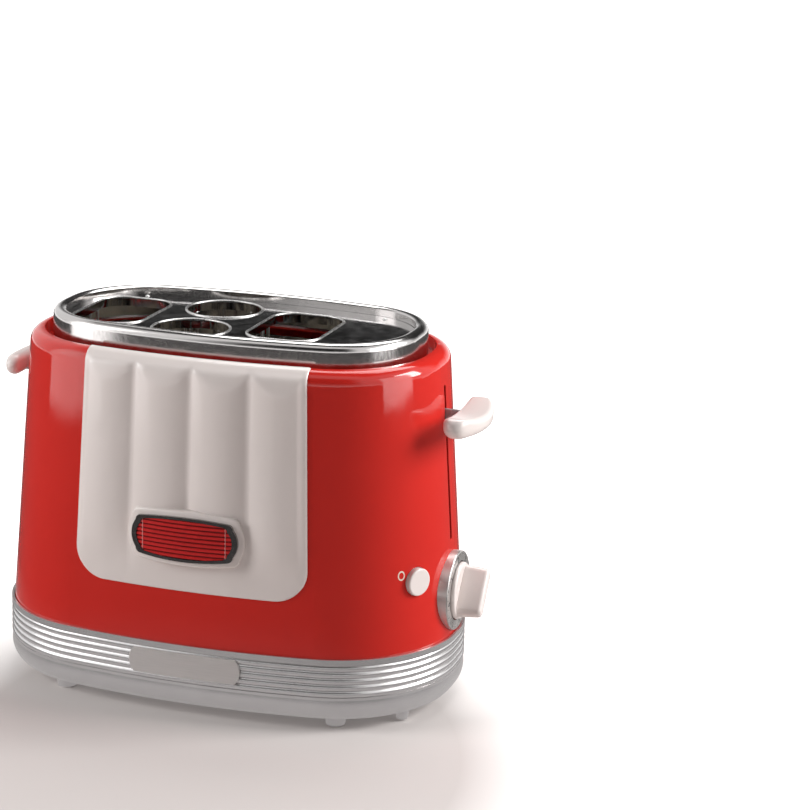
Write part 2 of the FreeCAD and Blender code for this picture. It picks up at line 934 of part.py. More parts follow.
def chassis_wall(wall_x, rod_x, half_width):
    """An end wall of the heating bay, with a tab at its top that holds the guide rod."""
    outward = 1 if rod_x > wall_x else -1
    wall = block(wall_x, wall_x + chassis_sheet, -half_width, half_width, floor_top, wall_top)
    tab_z = wall_top - rod_tab_gap
    reach = rod_x + outward * guide_block_half_width
    near = wall_x + chassis_sheet / 2
    ends = sorted((near, reach))
    tab = block(*ends, -rod_tab_half_width, rod_tab_half_width, tab_z, tab_z + chassis_sheet)
    hole = post(rod_x, 0, tab_z - over, tab_z + chassis_sheet + over, rod_radius)
    return cut(fuse([wall, tab]), [hole, rail_slot(wall_x + chassis_sheet / 2)])


def guide_rod(rod_x):
    return post(rod_x, 0, floor_top, wall_top - rod_tab_gap + chassis_sheet, rod_radius)


def reflector(side):
    ends = sorted((side * reflector_y, side * (reflector_y + reflector_sheet)))
    high = reflector_foot + reflector_height
    return block(left_wall_x + chassis_sheet, right_wall_x, *ends, reflector_foot, high)


def heater_places():
    """Name and X of the middle of each upright heater card, one beside each long slot side."""
    return (
        ("left_outer", bay_edges[0] - heater_gap),
        ("left_inner", (bay_edges[1] + sausage_x - sausage_well_radius) / 2),
        ("right_inner", (bay_edges[2] + sausage_x + sausage_well_radius) / 2),
        ("right_outer", bay_edges[3] + heater_gap),
    )


def heater_card(x):
    half = heater_card_sheet / 2
    high = heater_card_foot + heater_card_height
    card = block(x - half, x + half, -reflector_y, reflector_y, heater_card_foot, high)
    return card.cut(rail_slot(x))


def heater_ribbons(x):
    """Flat resistance ribbon laid across both faces of a card, broken where the rail passes."""
    strips = []
    inner_end = rail_thickness / 2 + rail_slot_clearance + ribbon_rail_gap
    outer_end = reflector_y - ribbon_end_gap
    for face in (-1, 1):
        skin = x + face * heater_card_sheet / 2
        faces = sorted((skin, skin + face * ribbon_thickness))
        for i in range(ribbon_count):
            z = heater_card_foot + ribbon_margin + i * ribbon_pitch
            for side in (-1, 1):
                ends = sorted((side * inner_end, side * outer_end))
                strips.append(block(*faces, *ends, z, z + ribbon_width))
    return Part.makeCompound(strips)


def slot_guard(x):
    """Upright wires down the long sides of a bun bay, tied by a cross wire at the foot."""
    r = guard_wire_radius
    sides = []
    for side in (-1, 1):
        wire_x = x + side * (bun_slot_width / 2 + r)
        wires = [post(wire_x, y, guard_foot, lip_foot, r) for y in guard_rows]
        start = V(wire_x, guard_rows[0], guard_foot + guard_tie_height)
        tie = Part.makeCylinder(guard_tie_radius, guard_rows[-1] - guard_rows[0], start, V(0, 1, 0))
        sides.append(fuse(wires + [tie]))
    return Part.makeCompound(sides)


def well_guards():
    """Upright wires round each sausage well, outside a ring near the foot that they touch."""
    reach = sausage_well_radius + lip_thickness / 2
    ring_radius = reach - guard_wire_radius - guard_tie_radius
    pieces = []
    for side in (-1, 1):
        y = side * sausage_y
        for i in range(well_wire_count):
            at = heading(360 * (i + 0.5) / well_wire_count) * reach
            pieces.append(post(sausage_x + at.x, y + at.y, guard_foot, lip_foot, guard_wire_radius))
        centre = V(sausage_x, y, guard_foot + guard_tie_height)
        pieces.append(Part.makeTorus(ring_radius, guard_tie_radius, centre))
    return Part.makeCompound(pieces)


# ---- Lift carriage ------------------------------------------------------------------------------


def lift_rail():
    half = rail_thickness / 2
    low_x = left_rod_x + guide_block_half_width
    high_x = right_rod_x - guide_block_half_width
    return block(low_x, high_x, -half, half, rail_foot, rail_top)


def bun_tray(x):
    """A sheet tray with its two ends turned up, lying on the rail."""
    width = bun_slot_width - 2 * tray_clearance
    length = bun_slot_length - 2 * tray_clearance
    sheet = rounded_prism(x, 0, rail_top, tray_top, width, length, bun_slot_corner / 3)
    slots = []
    for column in tray_slot_columns:
        for side in (-1, 1):
            y = side * length / 4
            slots.append(slit(x + column, y, tray_top, tray_slot_width, length / 2 - tray_slot_margin))
    ends = []
    for side in (-1, 1):
        edge = side * length / 2
        y = sorted((edge, edge - side * tray_sheet))
        end_half = width / 2 - tray_end_margin
        ends.append(block(x - end_half, x + end_half, *y, rail_top, tray_top + tray_end_rise))
    return fuse([cut(sheet, slots)] + ends)


def sausage_tray():
    """Two round cups on one carrier sheet across the rail."""
    outer = sausage_well_radius - cup_clearance
    half = cup_carrier_width / 2
    carrier = block(sausage_x - half, sausage_x + half, -sausage_y, sausage_y, rail_top, tray_top)
    cups = [post(sausage_x, side * sausage_y, rail_top, tray_top + cup_height, outer) for side in (-1, 1)]
    cup_top = tray_top + cup_height + over
    hollows = [post(sausage_x, side * sausage_y, tray_top, cup_top, outer - cup_wall) for side in (-1, 1)]
    return cut(fuse([carrier] + cups), hollows)


def guide_block(rod_x):
    half = guide_block_half_width
    body = block(rod_x - half, rod_x + half, -half, half, guide_block_foot, guide_block_top)
    bore = post(rod_x, 0, guide_block_foot - over, guide_block_top + over, rod_radius + rod_clearance)
    return body.cut(bore)


def lever_lift(side):
    """How much higher the left lever and its slot stand than the right ones."""
    return left_lever_lift if side < 0 else 0


def lever_arm(rod_x):
    """The flat arm from a guide block out through the end slot into the lever."""
    side = 1 if rod_x > 0 else -1
    x = sorted((rod_x + side * guide_block_half_width, side * (lever_tip_x + arm_grip_depth)))
    half = arm_thickness / 2
    z = arm_middle_z + lever_lift(side)
    return block(*x, -half, half, z - arm_depth / 2, z + arm_depth / 2)


def lever_plan(reach):
    """The lever's outline: a straight inside, a bowed outside, and tip arcs tangent to both."""
    tip = min(lever_corner, lever_tip_share * (reach - lever_tip_x))
    deep = reach - lever_tip_x - tip
    aside = lever_half_span - tip
    bow = (deep**2 + aside**2 - tip**2) / (2 * (deep - tip))
    turn = math.atan2(aside, lever_tip_x + tip - reach + bow)
    touch = (reach - bow + bow * math.cos(turn), bow * math.sin(turn))
    middle = (math.pi + turn) / 2
    crown = (lever_tip_x + tip + tip * math.cos(middle), aside + tip * math.sin(middle))
    moves = [
        ((crown[0], -crown[1]), (touch[0], -touch[1])),
        ((reach, 0), touch),
        (crown, (lever_tip_x, aside)),
    ]
    return (lever_tip_x, -aside), moves, tip


def lever_handle(side):
    """A crescent paddle with rounded lower edges, scooped along its top, on the end of its arm."""
    reach = left_lever_reach if side < 0 else right_lever_reach
    start, moves, tip = lever_plan(reach)
    plan = flat_face(start, moves, lambda p: V(p[0], p[1], lever_foot))
    paddle = plan.extrude(V(0, 0, lever_tip_top - lever_foot))
    edge_round = min(lever_edge_round, lever_edge_share * tip)
    paddle = paddle.makeFillet(edge_round, edges_at(paddle, lever_foot))
    scoop_radius = (lever_half_span**2 + lever_scoop**2) / (2 * lever_scoop)
    scoop_z = lever_tip_top - lever_scoop + scoop_radius
    scoop = spindle(lever_tip_x - over, reach + over, 0, scoop_z, scoop_radius)
    half = arm_thickness / 2
    ends = (lever_tip_x - over, lever_tip_x + arm_grip_depth)
    pocket = block(*ends, -half, half, arm_middle_z - arm_depth / 2, arm_middle_z + arm_depth / 2)
    paddle = cut(paddle, [scoop, pocket])
    if side < 0:
        paddle = paddle.mirror(V(0, 0, 0), V(1, 0, 0))
    paddle.translate(V(0, 0, lever_lift(side)))
    return paddle


def lift_spring(rod_x):
    """A compression spring round the guide rod, from the floor plate up to the guide block."""
    low = floor_top + spring_wire_radius
    climb = (guide_block_foot - spring_wire_radius - low) / spring_turns

    def place(turns):
        return heading(360 * turns) * spring_radius + V(rod_x, 0, low + climb * turns)

    edges = []
    for i in range(spring_turns * spring_arcs_per_turn):
        ends = [(i + share) / spring_arcs_per_turn for share in (0, 0.5, 1)]
        edges.append(Part.Arc(*[place(turns) for turns in ends]).toShape())
    along = V(0, 2 * math.pi * spring_radius, climb)
    section = Part.Wire(Part.makeCircle(spring_wire_radius, place(0), along))
    return Part.Wire(edges).makePipeShell([section], True, True)


def armature():
    """The latch plate on the right guide block, which the magnet holds at the bottom of the stroke."""
    half = magnet_width / 2
    return block(
        right_rod_x - half,
        right_rod_x + half,
        guide_block_half_width,
        magnet_y + magnet_depth / 2,
        rail_foot - armature_thickness,
        rail_foot,
    )


# ---- Latch magnet, board and timer --------------------------------------------------------------


def magnet_top():
    return rail_foot - armature_thickness - carriage_drop - magnet_gap


def magnet_core():
    half_x = magnet_width / 2
    half_y = magnet_depth / 2
    ends = (right_rod_x - half_x, right_rod_x + half_x)
    return block(*ends, magnet_y - half_y, magnet_y + half_y, floor_top, magnet_top())


def magnet_coil():
    m = magnet_coil_margin
    low = floor_top + magnet_coil_gap
    high = min(low + magnet_coil_height, magnet_top() - magnet_coil_gap)
    winding = rounded_prism(
        right_rod_x, magnet_y, low, high, magnet_width + 2 * m, magnet_depth + 2 * m, m
    )
    return winding.cut(magnet_core())


def control_board():
    return block(board_x, board_x + board_sheet, -board_half_width, board_half_width, board_foot, board_top)


def timer_front():
    return board_x + board_sheet + timer_depth


def timer():
    return spindle(board_x + board_sheet, timer_front(), 0, dial_z, timer_radius)


def stop_switch():
    near = board_x + board_sheet
    y = stop_switch_y()
    half = stop_switch_width / 2
    return block(near, near + stop_switch_depth, y - half, y + half, button_z - half, button_z + half)


# ---- Dial, knob and stop button -----------------------------------------------------------------


def dial_ring():
    drum = spindle(top_half_length, dial_face_x, 0, dial_z, dial_radius)
    front_edge = [e for e in drum.Edges if all(abs(v.X - dial_face_x) < 0.01 for v in e.Vertexes)]
    drum = drum.makeFillet(dial_edge_round, front_edge)
    bore = spindle(top_half_length - over, dial_face_x + over, 0, dial_z, knob_radius + knob_clearance)
    return drum.cut(bore).cut(body_form(0))


def knob_back():
    """X of the knob's back face, clear of the shell under the dial."""
    lean = (foot_half_length - top_half_length) / (shoulder_z - shell_foot)
    return foot_half_length - lean * (dial_z - knob_radius - shell_foot) + knob_back_gap


def browning_knob():
    disc = spindle(knob_back(), knob_disc_front, 0, dial_z, knob_radius)
    half_l = grip_length / 2
    half_t = grip_thickness / 2
    start = (-half_t, -half_l + half_t)
    moves = [
        ((0, -half_l), (half_t, -half_l + half_t)),
        ((half_t, half_l - half_t),),
        ((0, half_l), (-half_t, half_l - half_t)),
    ]
    foot = flat_wire(start, moves, lambda p: V(knob_disc_front - over, p[0], p[1]))
    narrow = (half_t - grip_draft) / half_t
    crest = flat_wire(start, moves, lambda p: V(knob_front, p[0] * narrow, p[1] * (1 - grip_draft / half_l)))
    grip = Part.makeLoft([foot, crest], True, True)
    crest_edges = [e for e in grip.Edges if all(abs(v.X - knob_front) < 0.01 for v in e.Vertexes)]
    grip = grip.makeFillet(grip_edge_round, crest_edges)
    grip.rotate(V(0, 0, 0), V(1, 0, 0), -grip_turn)
    grip.translate(V(0, 0, dial_z))
    shaft_hole = spindle(knob_back() - over, knob_back() + shaft_grip_depth, 0, dial_z, shaft_radius)
    return fuse([disc, grip]).cut(shaft_hole)


def knob_shaft():
    return spindle(timer_front() + knob_clearance, knob_back() + shaft_grip_depth, 0, dial_z, shaft_radius)


def button_axis():
    """Outward direction of the stop button, square to the shell where it stands."""
    return heading(button_turn)


def along_button(low, high, radius):
    """A cylinder on the stop button's axis, between distances outside the shell's surface."""
    outward = button_axis()
    start = V(button_x, button_y, button_z) + outward * low
    return Part.makeCylinder(radius, high - low, start, outward)


def button_stem_end():
    """Distance inside the shell at which the stem stops, clear of the switch by its travel."""
    switch_face = board_x + board_sheet + stop_switch_depth
    return (button_x - switch_face) / button_axis().x - button_travel - button_switch_gap


def stop_switch_y():
    return button_y - button_axis().y * (button_stem_end() + button_travel)


def stop_button():
    flange_front = -shell_wall - button_flange_gap
    cap = along_button(flange_front - button_flange_thickness, button_proud, button_radius)
    middle = V(button_x, button_y, button_z)
    front_edge = [e for e in cap.Edges if (e.CenterOfMass - middle).dot(button_axis()) > button_proud / 2]
    cap = cap.makeFillet(button_edge_round, front_edge)
    flange = along_button(
        flange_front - button_flange_thickness, flange_front, button_radius + button_flange_extra
    )
    stem = along_button(-button_stem_end(), 0, button_stem_radius)
    return fuse([cap, flange, stem])


def button_sleeve():
    """The guide tube behind the shell that the button's flange slides in."""
    inner = button_radius + button_flange_extra + button_clearance
    tube = along_button(-sleeve_length, over, inner + sleeve_wall)
    bore = along_button(-sleeve_length - over, 2 * over, inner)
    return tube.cut(bore).common(body_form(shell_wall))


# ---- Crumb tray ---------------------------------------------------------------------------------


def crumb_tray(ring):
    """A pan on the floor plate whose back lip is the piece cut out of the base."""
    lip = ring.common(tray_mouth(crumb_lip_gap))
    x_low = left_wall_x + chassis_sheet + crumb_side_gap
    x_high = right_wall_x - crumb_side_gap
    wall_top_z = floor_top + crumb_pan_wall_height
    pan = block(x_low, x_high, crumb_front_y, foot_half_width, floor_top, wall_top_z)
    pan = pan.common(foot_oval.prism(floor_top, wall_top_z))
    t = crumb_pan_floor
    hollow_top = wall_top_z + over
    hollow = block(x_low + t, x_high - t, crumb_front_y + t, foot_half_width, floor_top + t, hollow_top)
    middle = (left_wall_x + right_wall_x) / 2
    pull_z = floor_top + crumb_pull_rise
    pull = block(
        middle - crumb_pull_width / 2,
        middle + crumb_pull_width / 2,
        foot_half_width - crumb_pull_depth,
        foot_half_width + base_overhang + over,
        pull_z,
        pull_z + crumb_pull_height,
    )
    return fuse([pan, lip]).cut(hollow.cut(ring)).cut(pull)


# ---- Build --------------------------------------------------------------------------------------


def main():
    os.makedirs("parts", exist_ok=True)
    ring = base_ring()
    save("outer_shell", outer_shell())
    save("base_moulding", base_moulding(ring))
    save("feet", feet())
    save("cord_pegs", cord_pegs())
    save("floor_plate", floor_plate())
    save("base_screws", base_screws())
    save("cord_bushing", cord_bushing())
    save("rim_ring", rim_ring())
    save("slot_plate", slot_plate())
    save("front_panel", front_panel())
    save("badge_bezel", badge_bezel())
    save("badge_insert", badge_insert())
    save("base_plate", base_plate())
    save("chassis_left", chassis_wall(left_wall_x, left_rod_x, left_wall_half_width))
    save("chassis_right", chassis_wall(right_wall_x, right_rod_x, right_wall_half_width))
    save("guide_rod_left", guide_rod(left_rod_x))
    save("guide_rod_right", guide_rod(right_rod_x))
    save("reflector_front", reflector(-1))
    save("reflector_rear", reflector(1))
    for name, x in heater_places():
        save(f"heater_card_{name}", heater_card(x))
        save(f"heater_ribbon_{name}", heater_ribbons(x))
    save("bun_guard_left", slot_guard(bun_slot_x[0]))
    save("bun_guard_right", slot_guard(bun_slot_x[1]))
    save("sausage_guards", well_guards())
    save("lift_rail", lift_rail())
    save("bun_tray_left", bun_tray(bun_slot_x[0]))
    save("bun_tray_right", bun_tray(bun_slot_x[1]))
    save("sausage_tray", sausage_tray())
    save("guide_block_left", guide_block(left_rod_x))
    save("guide_block_right", guide_block(right_rod_x))
    save("lever_arm_left", lever_arm(left_rod_x))
    save("lever_arm_right", lever_arm(right_rod_x))
    save("lever_left", lever_handle(-1))
    save("lever_right", lever_handle(1))
    save("lift_spring_left", lift_spring(left_rod_x))
    save("lift_spring_right", lift_spring(right_rod_x))
    save("latch_armature", armature())
    save("magnet_core", magnet_core())
    save("magnet_coil", magnet_coil())
    save("control_board", control_board())
    save("timer", timer())
    save("stop_switch", stop_switch())
    save("dial_ring", dial_ring())
    save("browning_knob", browning_knob())
    save("knob_shaft", knob_shaft())
    save("stop_button", stop_button())
    save("button_sleeve", button_sleeve())
    save("crumb_tray", crumb_tray(ring))


main()
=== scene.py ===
# %% [markdown]
# # A hot dog toaster, dressed in Blender
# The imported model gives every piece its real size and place. This lesson gives the pieces their looks:
# glossy red enamel, warm white plastic, brushed and polished steel, silver paint, and the small pieces
# that catch the eye, such as the markings on the dial and the rolled edges of the slots.
# All of it is in metres, with +Z up, +X towards the dial and -Y towards the fluted panel.

import math

import bmesh
import bpy
from mathutils import Matrix, Vector
from mathutils.bvhtree import BVHTree


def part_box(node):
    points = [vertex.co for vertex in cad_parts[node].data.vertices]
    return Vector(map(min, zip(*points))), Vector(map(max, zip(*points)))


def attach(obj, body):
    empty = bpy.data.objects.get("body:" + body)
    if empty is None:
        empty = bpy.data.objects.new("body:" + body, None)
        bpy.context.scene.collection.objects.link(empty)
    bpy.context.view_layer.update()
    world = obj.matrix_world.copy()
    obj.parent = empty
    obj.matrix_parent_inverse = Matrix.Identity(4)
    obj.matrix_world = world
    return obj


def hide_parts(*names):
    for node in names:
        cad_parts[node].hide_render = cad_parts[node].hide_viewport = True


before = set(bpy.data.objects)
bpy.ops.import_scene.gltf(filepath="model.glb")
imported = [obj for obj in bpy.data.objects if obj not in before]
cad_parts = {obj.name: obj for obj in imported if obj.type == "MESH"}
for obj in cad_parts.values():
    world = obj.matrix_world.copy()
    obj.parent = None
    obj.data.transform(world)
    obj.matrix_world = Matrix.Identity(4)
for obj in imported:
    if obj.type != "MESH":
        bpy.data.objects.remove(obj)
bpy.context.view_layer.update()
mm = 0.001

# %% [markdown]
# ## Finishes
# On the real toaster no surface is one flat colour: enamel has a faint orange peel, paint has flakes,
# brushed steel has hair lines that follow the brush. Each finish here is a Principled shader whose
# constants sit on the shader itself, with noise in the piece's own coordinates for what varies.
# A painted image could do it too, but noise needs no unwrapping and keeps its scale on every piece.

# %% Helpers that make a finish


def add(tree, kind, inputs=None, **settings):
    """A node of a kind with its settings; each input is linked from a socket or set to a value."""
    node = tree.nodes.new(kind)
    for name, value in settings.items():
        setattr(node, name, value)
    for name, value in (inputs or {}).items():
        if isinstance(value, bpy.types.NodeSocket):
            tree.links.new(value, node.inputs[name])
        else:
            node.inputs[name].default_value = value
    return node.outputs


def calculate(tree, operation, first, second=0.0):
    """The result of a Math node."""
    return add(tree, "ShaderNodeMath", {0: first, 1: second}, operation=operation)["Value"]


def length_of(tree, vector):
    return add(tree, "ShaderNodeVectorMath", {0: vector}, operation="LENGTH")["Value"]


def own_place(tree, stretch=(1, 1, 1)):
    """The point on the piece in its own coordinates, drawn out along an axis by a small scale."""
    place = add(tree, "ShaderNodeTexCoord")["Object"]
    return add(tree, "ShaderNodeMapping", {"Vector": place, "Scale": stretch})["Vector"]


def noise(tree, per_metre, stretch=(1, 1, 1), detail=3.0):
    inputs = {"Vector": own_place(tree, stretch), "Scale": per_metre, "Detail": detail}
    return add(tree, "ShaderNodeTexNoise", inputs)["Fac"]


def spread(tree, source, low, high, start=0.3, end=0.7):
    """Carries a texture's usual range onto low..high."""
    inputs = {"Value": source, "From Min": start, "From Max": end, "To Min": low, "To Max": high}
    return add(tree, "ShaderNodeMapRange", inputs)["Result"]


def blend(tree, share, under, over):
    """A colour between two; each is a socket or a colour with its alpha."""
    inputs = {"Factor": share, "A": under, "B": over}
    return add(tree, "ShaderNodeMix", inputs, data_type="RGBA")["Result"]


# %% Helpers that set up the shader


def new_finish(name, colour, roughness, metallic=0.0):
    """A material, its node tree and its Principled shader with the constants set."""
    material = bpy.data.materials.new(name)
    material.use_nodes = True
    tree = material.node_tree
    shader = tree.nodes["Principled BSDF"]
    shader.inputs["Base Color"].default_value = (*colour, 1)
    shader.inputs["Roughness"].default_value = roughness
    shader.inputs["Metallic"].default_value = metallic
    return material, tree, shader


def scaled(colour, share):
    return tuple(channel * share for channel in colour)


def vary_colour(tree, shader, source, low, high):
    """The base colour goes from low to high as the texture does."""
    mixed = blend(tree, spread(tree, source, 0, 1), (*low, 1), (*high, 1))
    tree.links.new(mixed, shader.inputs["Base Color"])


def vary_roughness(tree, shader, source, low, high):
    tree.links.new(spread(tree, source, low, high), shader.inputs["Roughness"])


def bump(tree, shader, source, height, strength=1.0):
    """Small relief of the given height in metres."""
    relief = add(tree, "ShaderNodeBump", {"Height": source, "Distance": height, "Strength": strength})
    tree.links.new(relief["Normal"], shader.inputs["Normal"])


def mottled(name, colour, roughness, spots, dark, metallic=0.0, bright=None, **texture):
    """A finish that wanders from a dark share of its colour to a bright one, so many spots to a metre."""
    material, tree, shader = new_finish(name, colour, roughness, metallic)
    vary_colour(tree, shader, noise(tree, spots, **texture), scaled(colour, dark), bright or colour)
    return material, tree, shader


def paint_nodes(material, names):
    """Gives CAD nodes a finish; their meshes stay as they are."""
    for name in names:
        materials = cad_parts[name].data.materials
        materials.clear()
        materials.append(material)
    print(material.name, "on", len(names), "nodes")


# %% [markdown]
# Enamel: a strong red with a hard gloss, which a low roughness gives, so that the lamps show in it as
# sharp shapes. A very low, slow ripple keeps those reflections from looking like glass.

# %% Red enamel


def red_enamel():
    material, tree, shader = mottled("red_enamel", (0.62, 0.026, 0.019), 0.07, 14, 0.95)
    vary_roughness(tree, shader, noise(tree, 40), 0.05, 0.09)
    bump(tree, shader, noise(tree, 55, detail=0.0), 0.00003, 0.5)
    return material


enamel = red_enamel()
paint_nodes(enamel, ["outer_shell"])

# %% [markdown]
# White gloss plastic: a warm white whose gloss is a little softer than enamel's. The front panel, both
# levers, the knob and the button are moulded in it.

# %% White gloss plastic


def white_plastic():
    material, tree, shader = mottled("white_gloss_plastic", (0.80, 0.725, 0.695), 0.20, 25, 0.97)
    vary_roughness(tree, shader, noise(tree, 60), 0.17, 0.24)
    bump(tree, shader, noise(tree, 90, detail=0.0), 0.00002, 0.3)
    return material


white_gloss = white_plastic()
paint_nodes(white_gloss, ["front_panel", "lever_left", "lever_right", "browning_knob", "stop_button"])

# %% [markdown]
# Silver paint on the ribbed base, its feet and the crumb tray: metal flakes in a satin lacquer. The
# flakes are too fine to be seen one by one, and a fine noise would only look like grain. So the
# shader is part metal and part paint, and both brightness and gloss change slowly.

# %% Silver paint


def silver_paint():
    silver = (0.66, 0.645, 0.645)
    material, tree, shader = mottled("silver_paint", silver, 0.22, 120, 0.97, metallic=0.78, detail=1.0)
    vary_roughness(tree, shader, noise(tree, 60, detail=0.0), 0.19, 0.23)
    return material


silver = silver_paint()
paint_nodes(silver, ["base_moulding", "crumb_tray", "cord_pegs", "feet"])

# %% [markdown]
# Brushed steel on the rim: the brush ran round the oval, so the hair lines follow it. The distance
# from the middle, with X and Y scaled so that the oval becomes a circle, is constant along such a
# line, and noise of that distance and the height gives the lines.

# %% Brushed rim


def round_the_oval(tree, half_length, half_width):
    """Distance outwards across the oval, and height, as a vector for a texture."""
    outwards = length_of(tree, own_place(tree, (1 / half_length, 1 / half_width, 0)))
    height = add(tree, "ShaderNodeSeparateXYZ", {"Vector": own_place(tree)})["Z"]
    return add(tree, "ShaderNodeCombineXYZ", {"X": outwards, "Y": height})["Vector"]


def brushed_rim():
    steel = (0.56, 0.54, 0.53)
    material, tree, shader = new_finish("brushed_rim_steel", steel, 0.16, metallic=1.0)
    half_length, half_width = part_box("rim_ring")[1].xy
    inputs = {"Vector": round_the_oval(tree, half_length, half_width), "Scale": 300, "Detail": 1.0}
    lines = add(tree, "ShaderNodeTexNoise", inputs)["Fac"]
    vary_colour(tree, shader, lines, scaled(steel, 0.95), steel)
    vary_roughness(tree, shader, lines, 0.14, 0.2)
    return material


rim_steel = brushed_rim()
paint_nodes(rim_steel, ["rim_ring"])

# %% [markdown]
# Polished steel: the slotted plate is a dark mirror with the faint cloudiness of a polishing wheel.
# The reflectors behind the heaters are the same sheet.

# %% Polished steel


def polished_steel():
    material, tree, shader = mottled("polished_steel", (0.50, 0.49, 0.49), 0.08, 30, 0.9, metallic=1.0)
    vary_roughness(tree, shader, noise(tree, 140, detail=4.0), 0.06, 0.14)
    return material


mirror = polished_steel()
paint_nodes(mirror, ["slot_plate", "reflector_front", "reflector_rear"])

# %% [markdown]
# Zinc plate: the sheet metal inside has large, faint crystals. A Voronoi cell gives each crystal its
# own grey, which noise alone can't do because it has no edges. Wire and rods have fine lines along
# their length, from noise that is drawn out along Z.

# %% Zinc plate, wire and rods


def zinc_plate():
    zinc = (0.52, 0.53, 0.54)
    material, tree, shader = new_finish("zinc_plate", zinc, 0.42, metallic=0.9)
    crystals = add(tree, "ShaderNodeTexVoronoi", {"Vector": own_place(tree), "Scale": 220})["Color"]
    grey = add(tree, "ShaderNodeSeparateColor", {"Color": crystals})
    vary_colour(tree, shader, grey["Red"], scaled(zinc, 0.82), zinc)
    vary_roughness(tree, shader, grey["Green"], 0.34, 0.5)
    return material


def drawn_wire():
    steel, along = (0.58, 0.57, 0.56), (4, 4, 0.1)
    material, tree, shader = mottled("drawn_wire", steel, 0.25, 300, 0.8, metallic=1.0, stretch=along)
    vary_roughness(tree, shader, noise(tree, 700, along), 0.2, 0.34)
    return material


sheet_nodes = (
    "floor_plate base_screws chassis_left chassis_right lift_rail bun_tray_left bun_tray_right"
    " sausage_tray lever_arm_left lever_arm_right latch_armature magnet_core"
)
wire_nodes = (
    "guide_rod_left guide_rod_right bun_guard_left bun_guard_right sausage_guards"
    " lift_spring_left lift_spring_right knob_shaft"
)
zinc = zinc_plate()
wire = drawn_wire()
paint_nodes(zinc, sheet_nodes.split())
paint_nodes(wire, wire_nodes.split())

# %% [markdown]
# Inside materials: mica cards are pale and flaky, the resistance ribbon is dull and heat tinted, the
# magnet's coil is wound copper, the board is green laminate and the small mouldings are grey nylon.

# %% Mica, ribbon and copper


def mica_sheet():
    material, tree, shader = mottled("mica_sheet", (0.50, 0.44, 0.34), 0.45, 160, 0.7, detail=6.0)
    vary_roughness(tree, shader, noise(tree, 380), 0.3, 0.6)
    bump(tree, shader, noise(tree, 500, detail=5.0), 0.00005, 0.4)
    return material


def heated_ribbon():
    steel, tint = (0.34, 0.27, 0.22), (0.38, 0.33, 0.33)
    material, tree, shader = mottled("heated_ribbon", steel, 0.4, 90, 0.6, metallic=0.9, bright=tint)
    vary_roughness(tree, shader, noise(tree, 800), 0.3, 0.5)
    return material


def wound_copper():
    copper = (0.62, 0.26, 0.12)
    material, tree, shader = new_finish("wound_copper", copper, 0.3, metallic=1.0)
    inputs = {"Vector": own_place(tree), "Scale": 320, "Distortion": 0.6}
    turns = add(tree, "ShaderNodeTexWave", inputs, bands_direction="Z")["Fac"]
    # painted shade: the colour darkens where the wave sinks the bump, in the grooves between the turns
    vary_colour(tree, shader, turns, scaled(copper, 0.45), copper)
    bump(tree, shader, turns, 0.0002)
    return material


paint_nodes(mica_sheet(), [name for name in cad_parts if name.startswith("heater_card")])
paint_nodes(heated_ribbon(), [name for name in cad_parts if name.startswith("heater_ribbon")])
paint_nodes(wound_copper(), ["magnet_coil"])

# %% Laminate, nylon and rubber


def green_laminate():
    green = (0.03, 0.16, 0.06)
    return mottled("green_laminate", green, 0.35, 700, 0.6, stretch=(1, 4, 1))[0]


def grey_nylon():
    material, tree, shader = mottled("grey_nylon", (0.32, 0.32, 0.34), 0.5, 60, 0.85)
    bump(tree, shader, noise(tree, 3000), 0.00002, 0.5)
    return material


def black_rubber():
    black, worn = (0.025, 0.025, 0.026), (0.04, 0.04, 0.042)
    material, tree, shader = mottled("black_rubber", black, 0.7, 200, 0.7, bright=worn)
    bump(tree, shader, noise(tree, 2600), 0.00004, 0.6)
    return material


paint_nodes(green_laminate(), ["control_board"])
nylon_nodes = ["guide_block_left", "guide_block_right", "timer", "stop_switch", "button_sleeve"]
paint_nodes(grey_nylon(), nylon_nodes)
paint_nodes(black_rubber(), ["cord_bushing"])

# %% [markdown]
# Badge, plate and dial: a dark, bright metal frame round a red ribbed face, a satin plate on the base
# and a satin dial with the fine circles that a lathe leaves.

# %% Badge metals


def dark_chrome():
    dark = (0.32, 0.30, 0.295)
    bright = scaled(dark, 1.1)
    material, tree, shader = mottled("dark_chrome", dark, 0.18, 80, 0.8, metallic=1.0, bright=bright)
    vary_roughness(tree, shader, noise(tree, 500), 0.12, 0.24)
    return material


def satin_plate():
    grey, along = (0.60, 0.565, 0.55), (0.1, 1, 3)
    material, tree, shader = mottled("satin_plate", grey, 0.4, 900, 0.92, metallic=0.3, stretch=along)
    vary_roughness(tree, shader, noise(tree, 1800), 0.34, 0.46)
    return material


chrome = dark_chrome()
plate_satin = satin_plate()
paint_nodes(chrome, ["badge_bezel"])
paint_nodes(plate_satin, ["base_plate"])
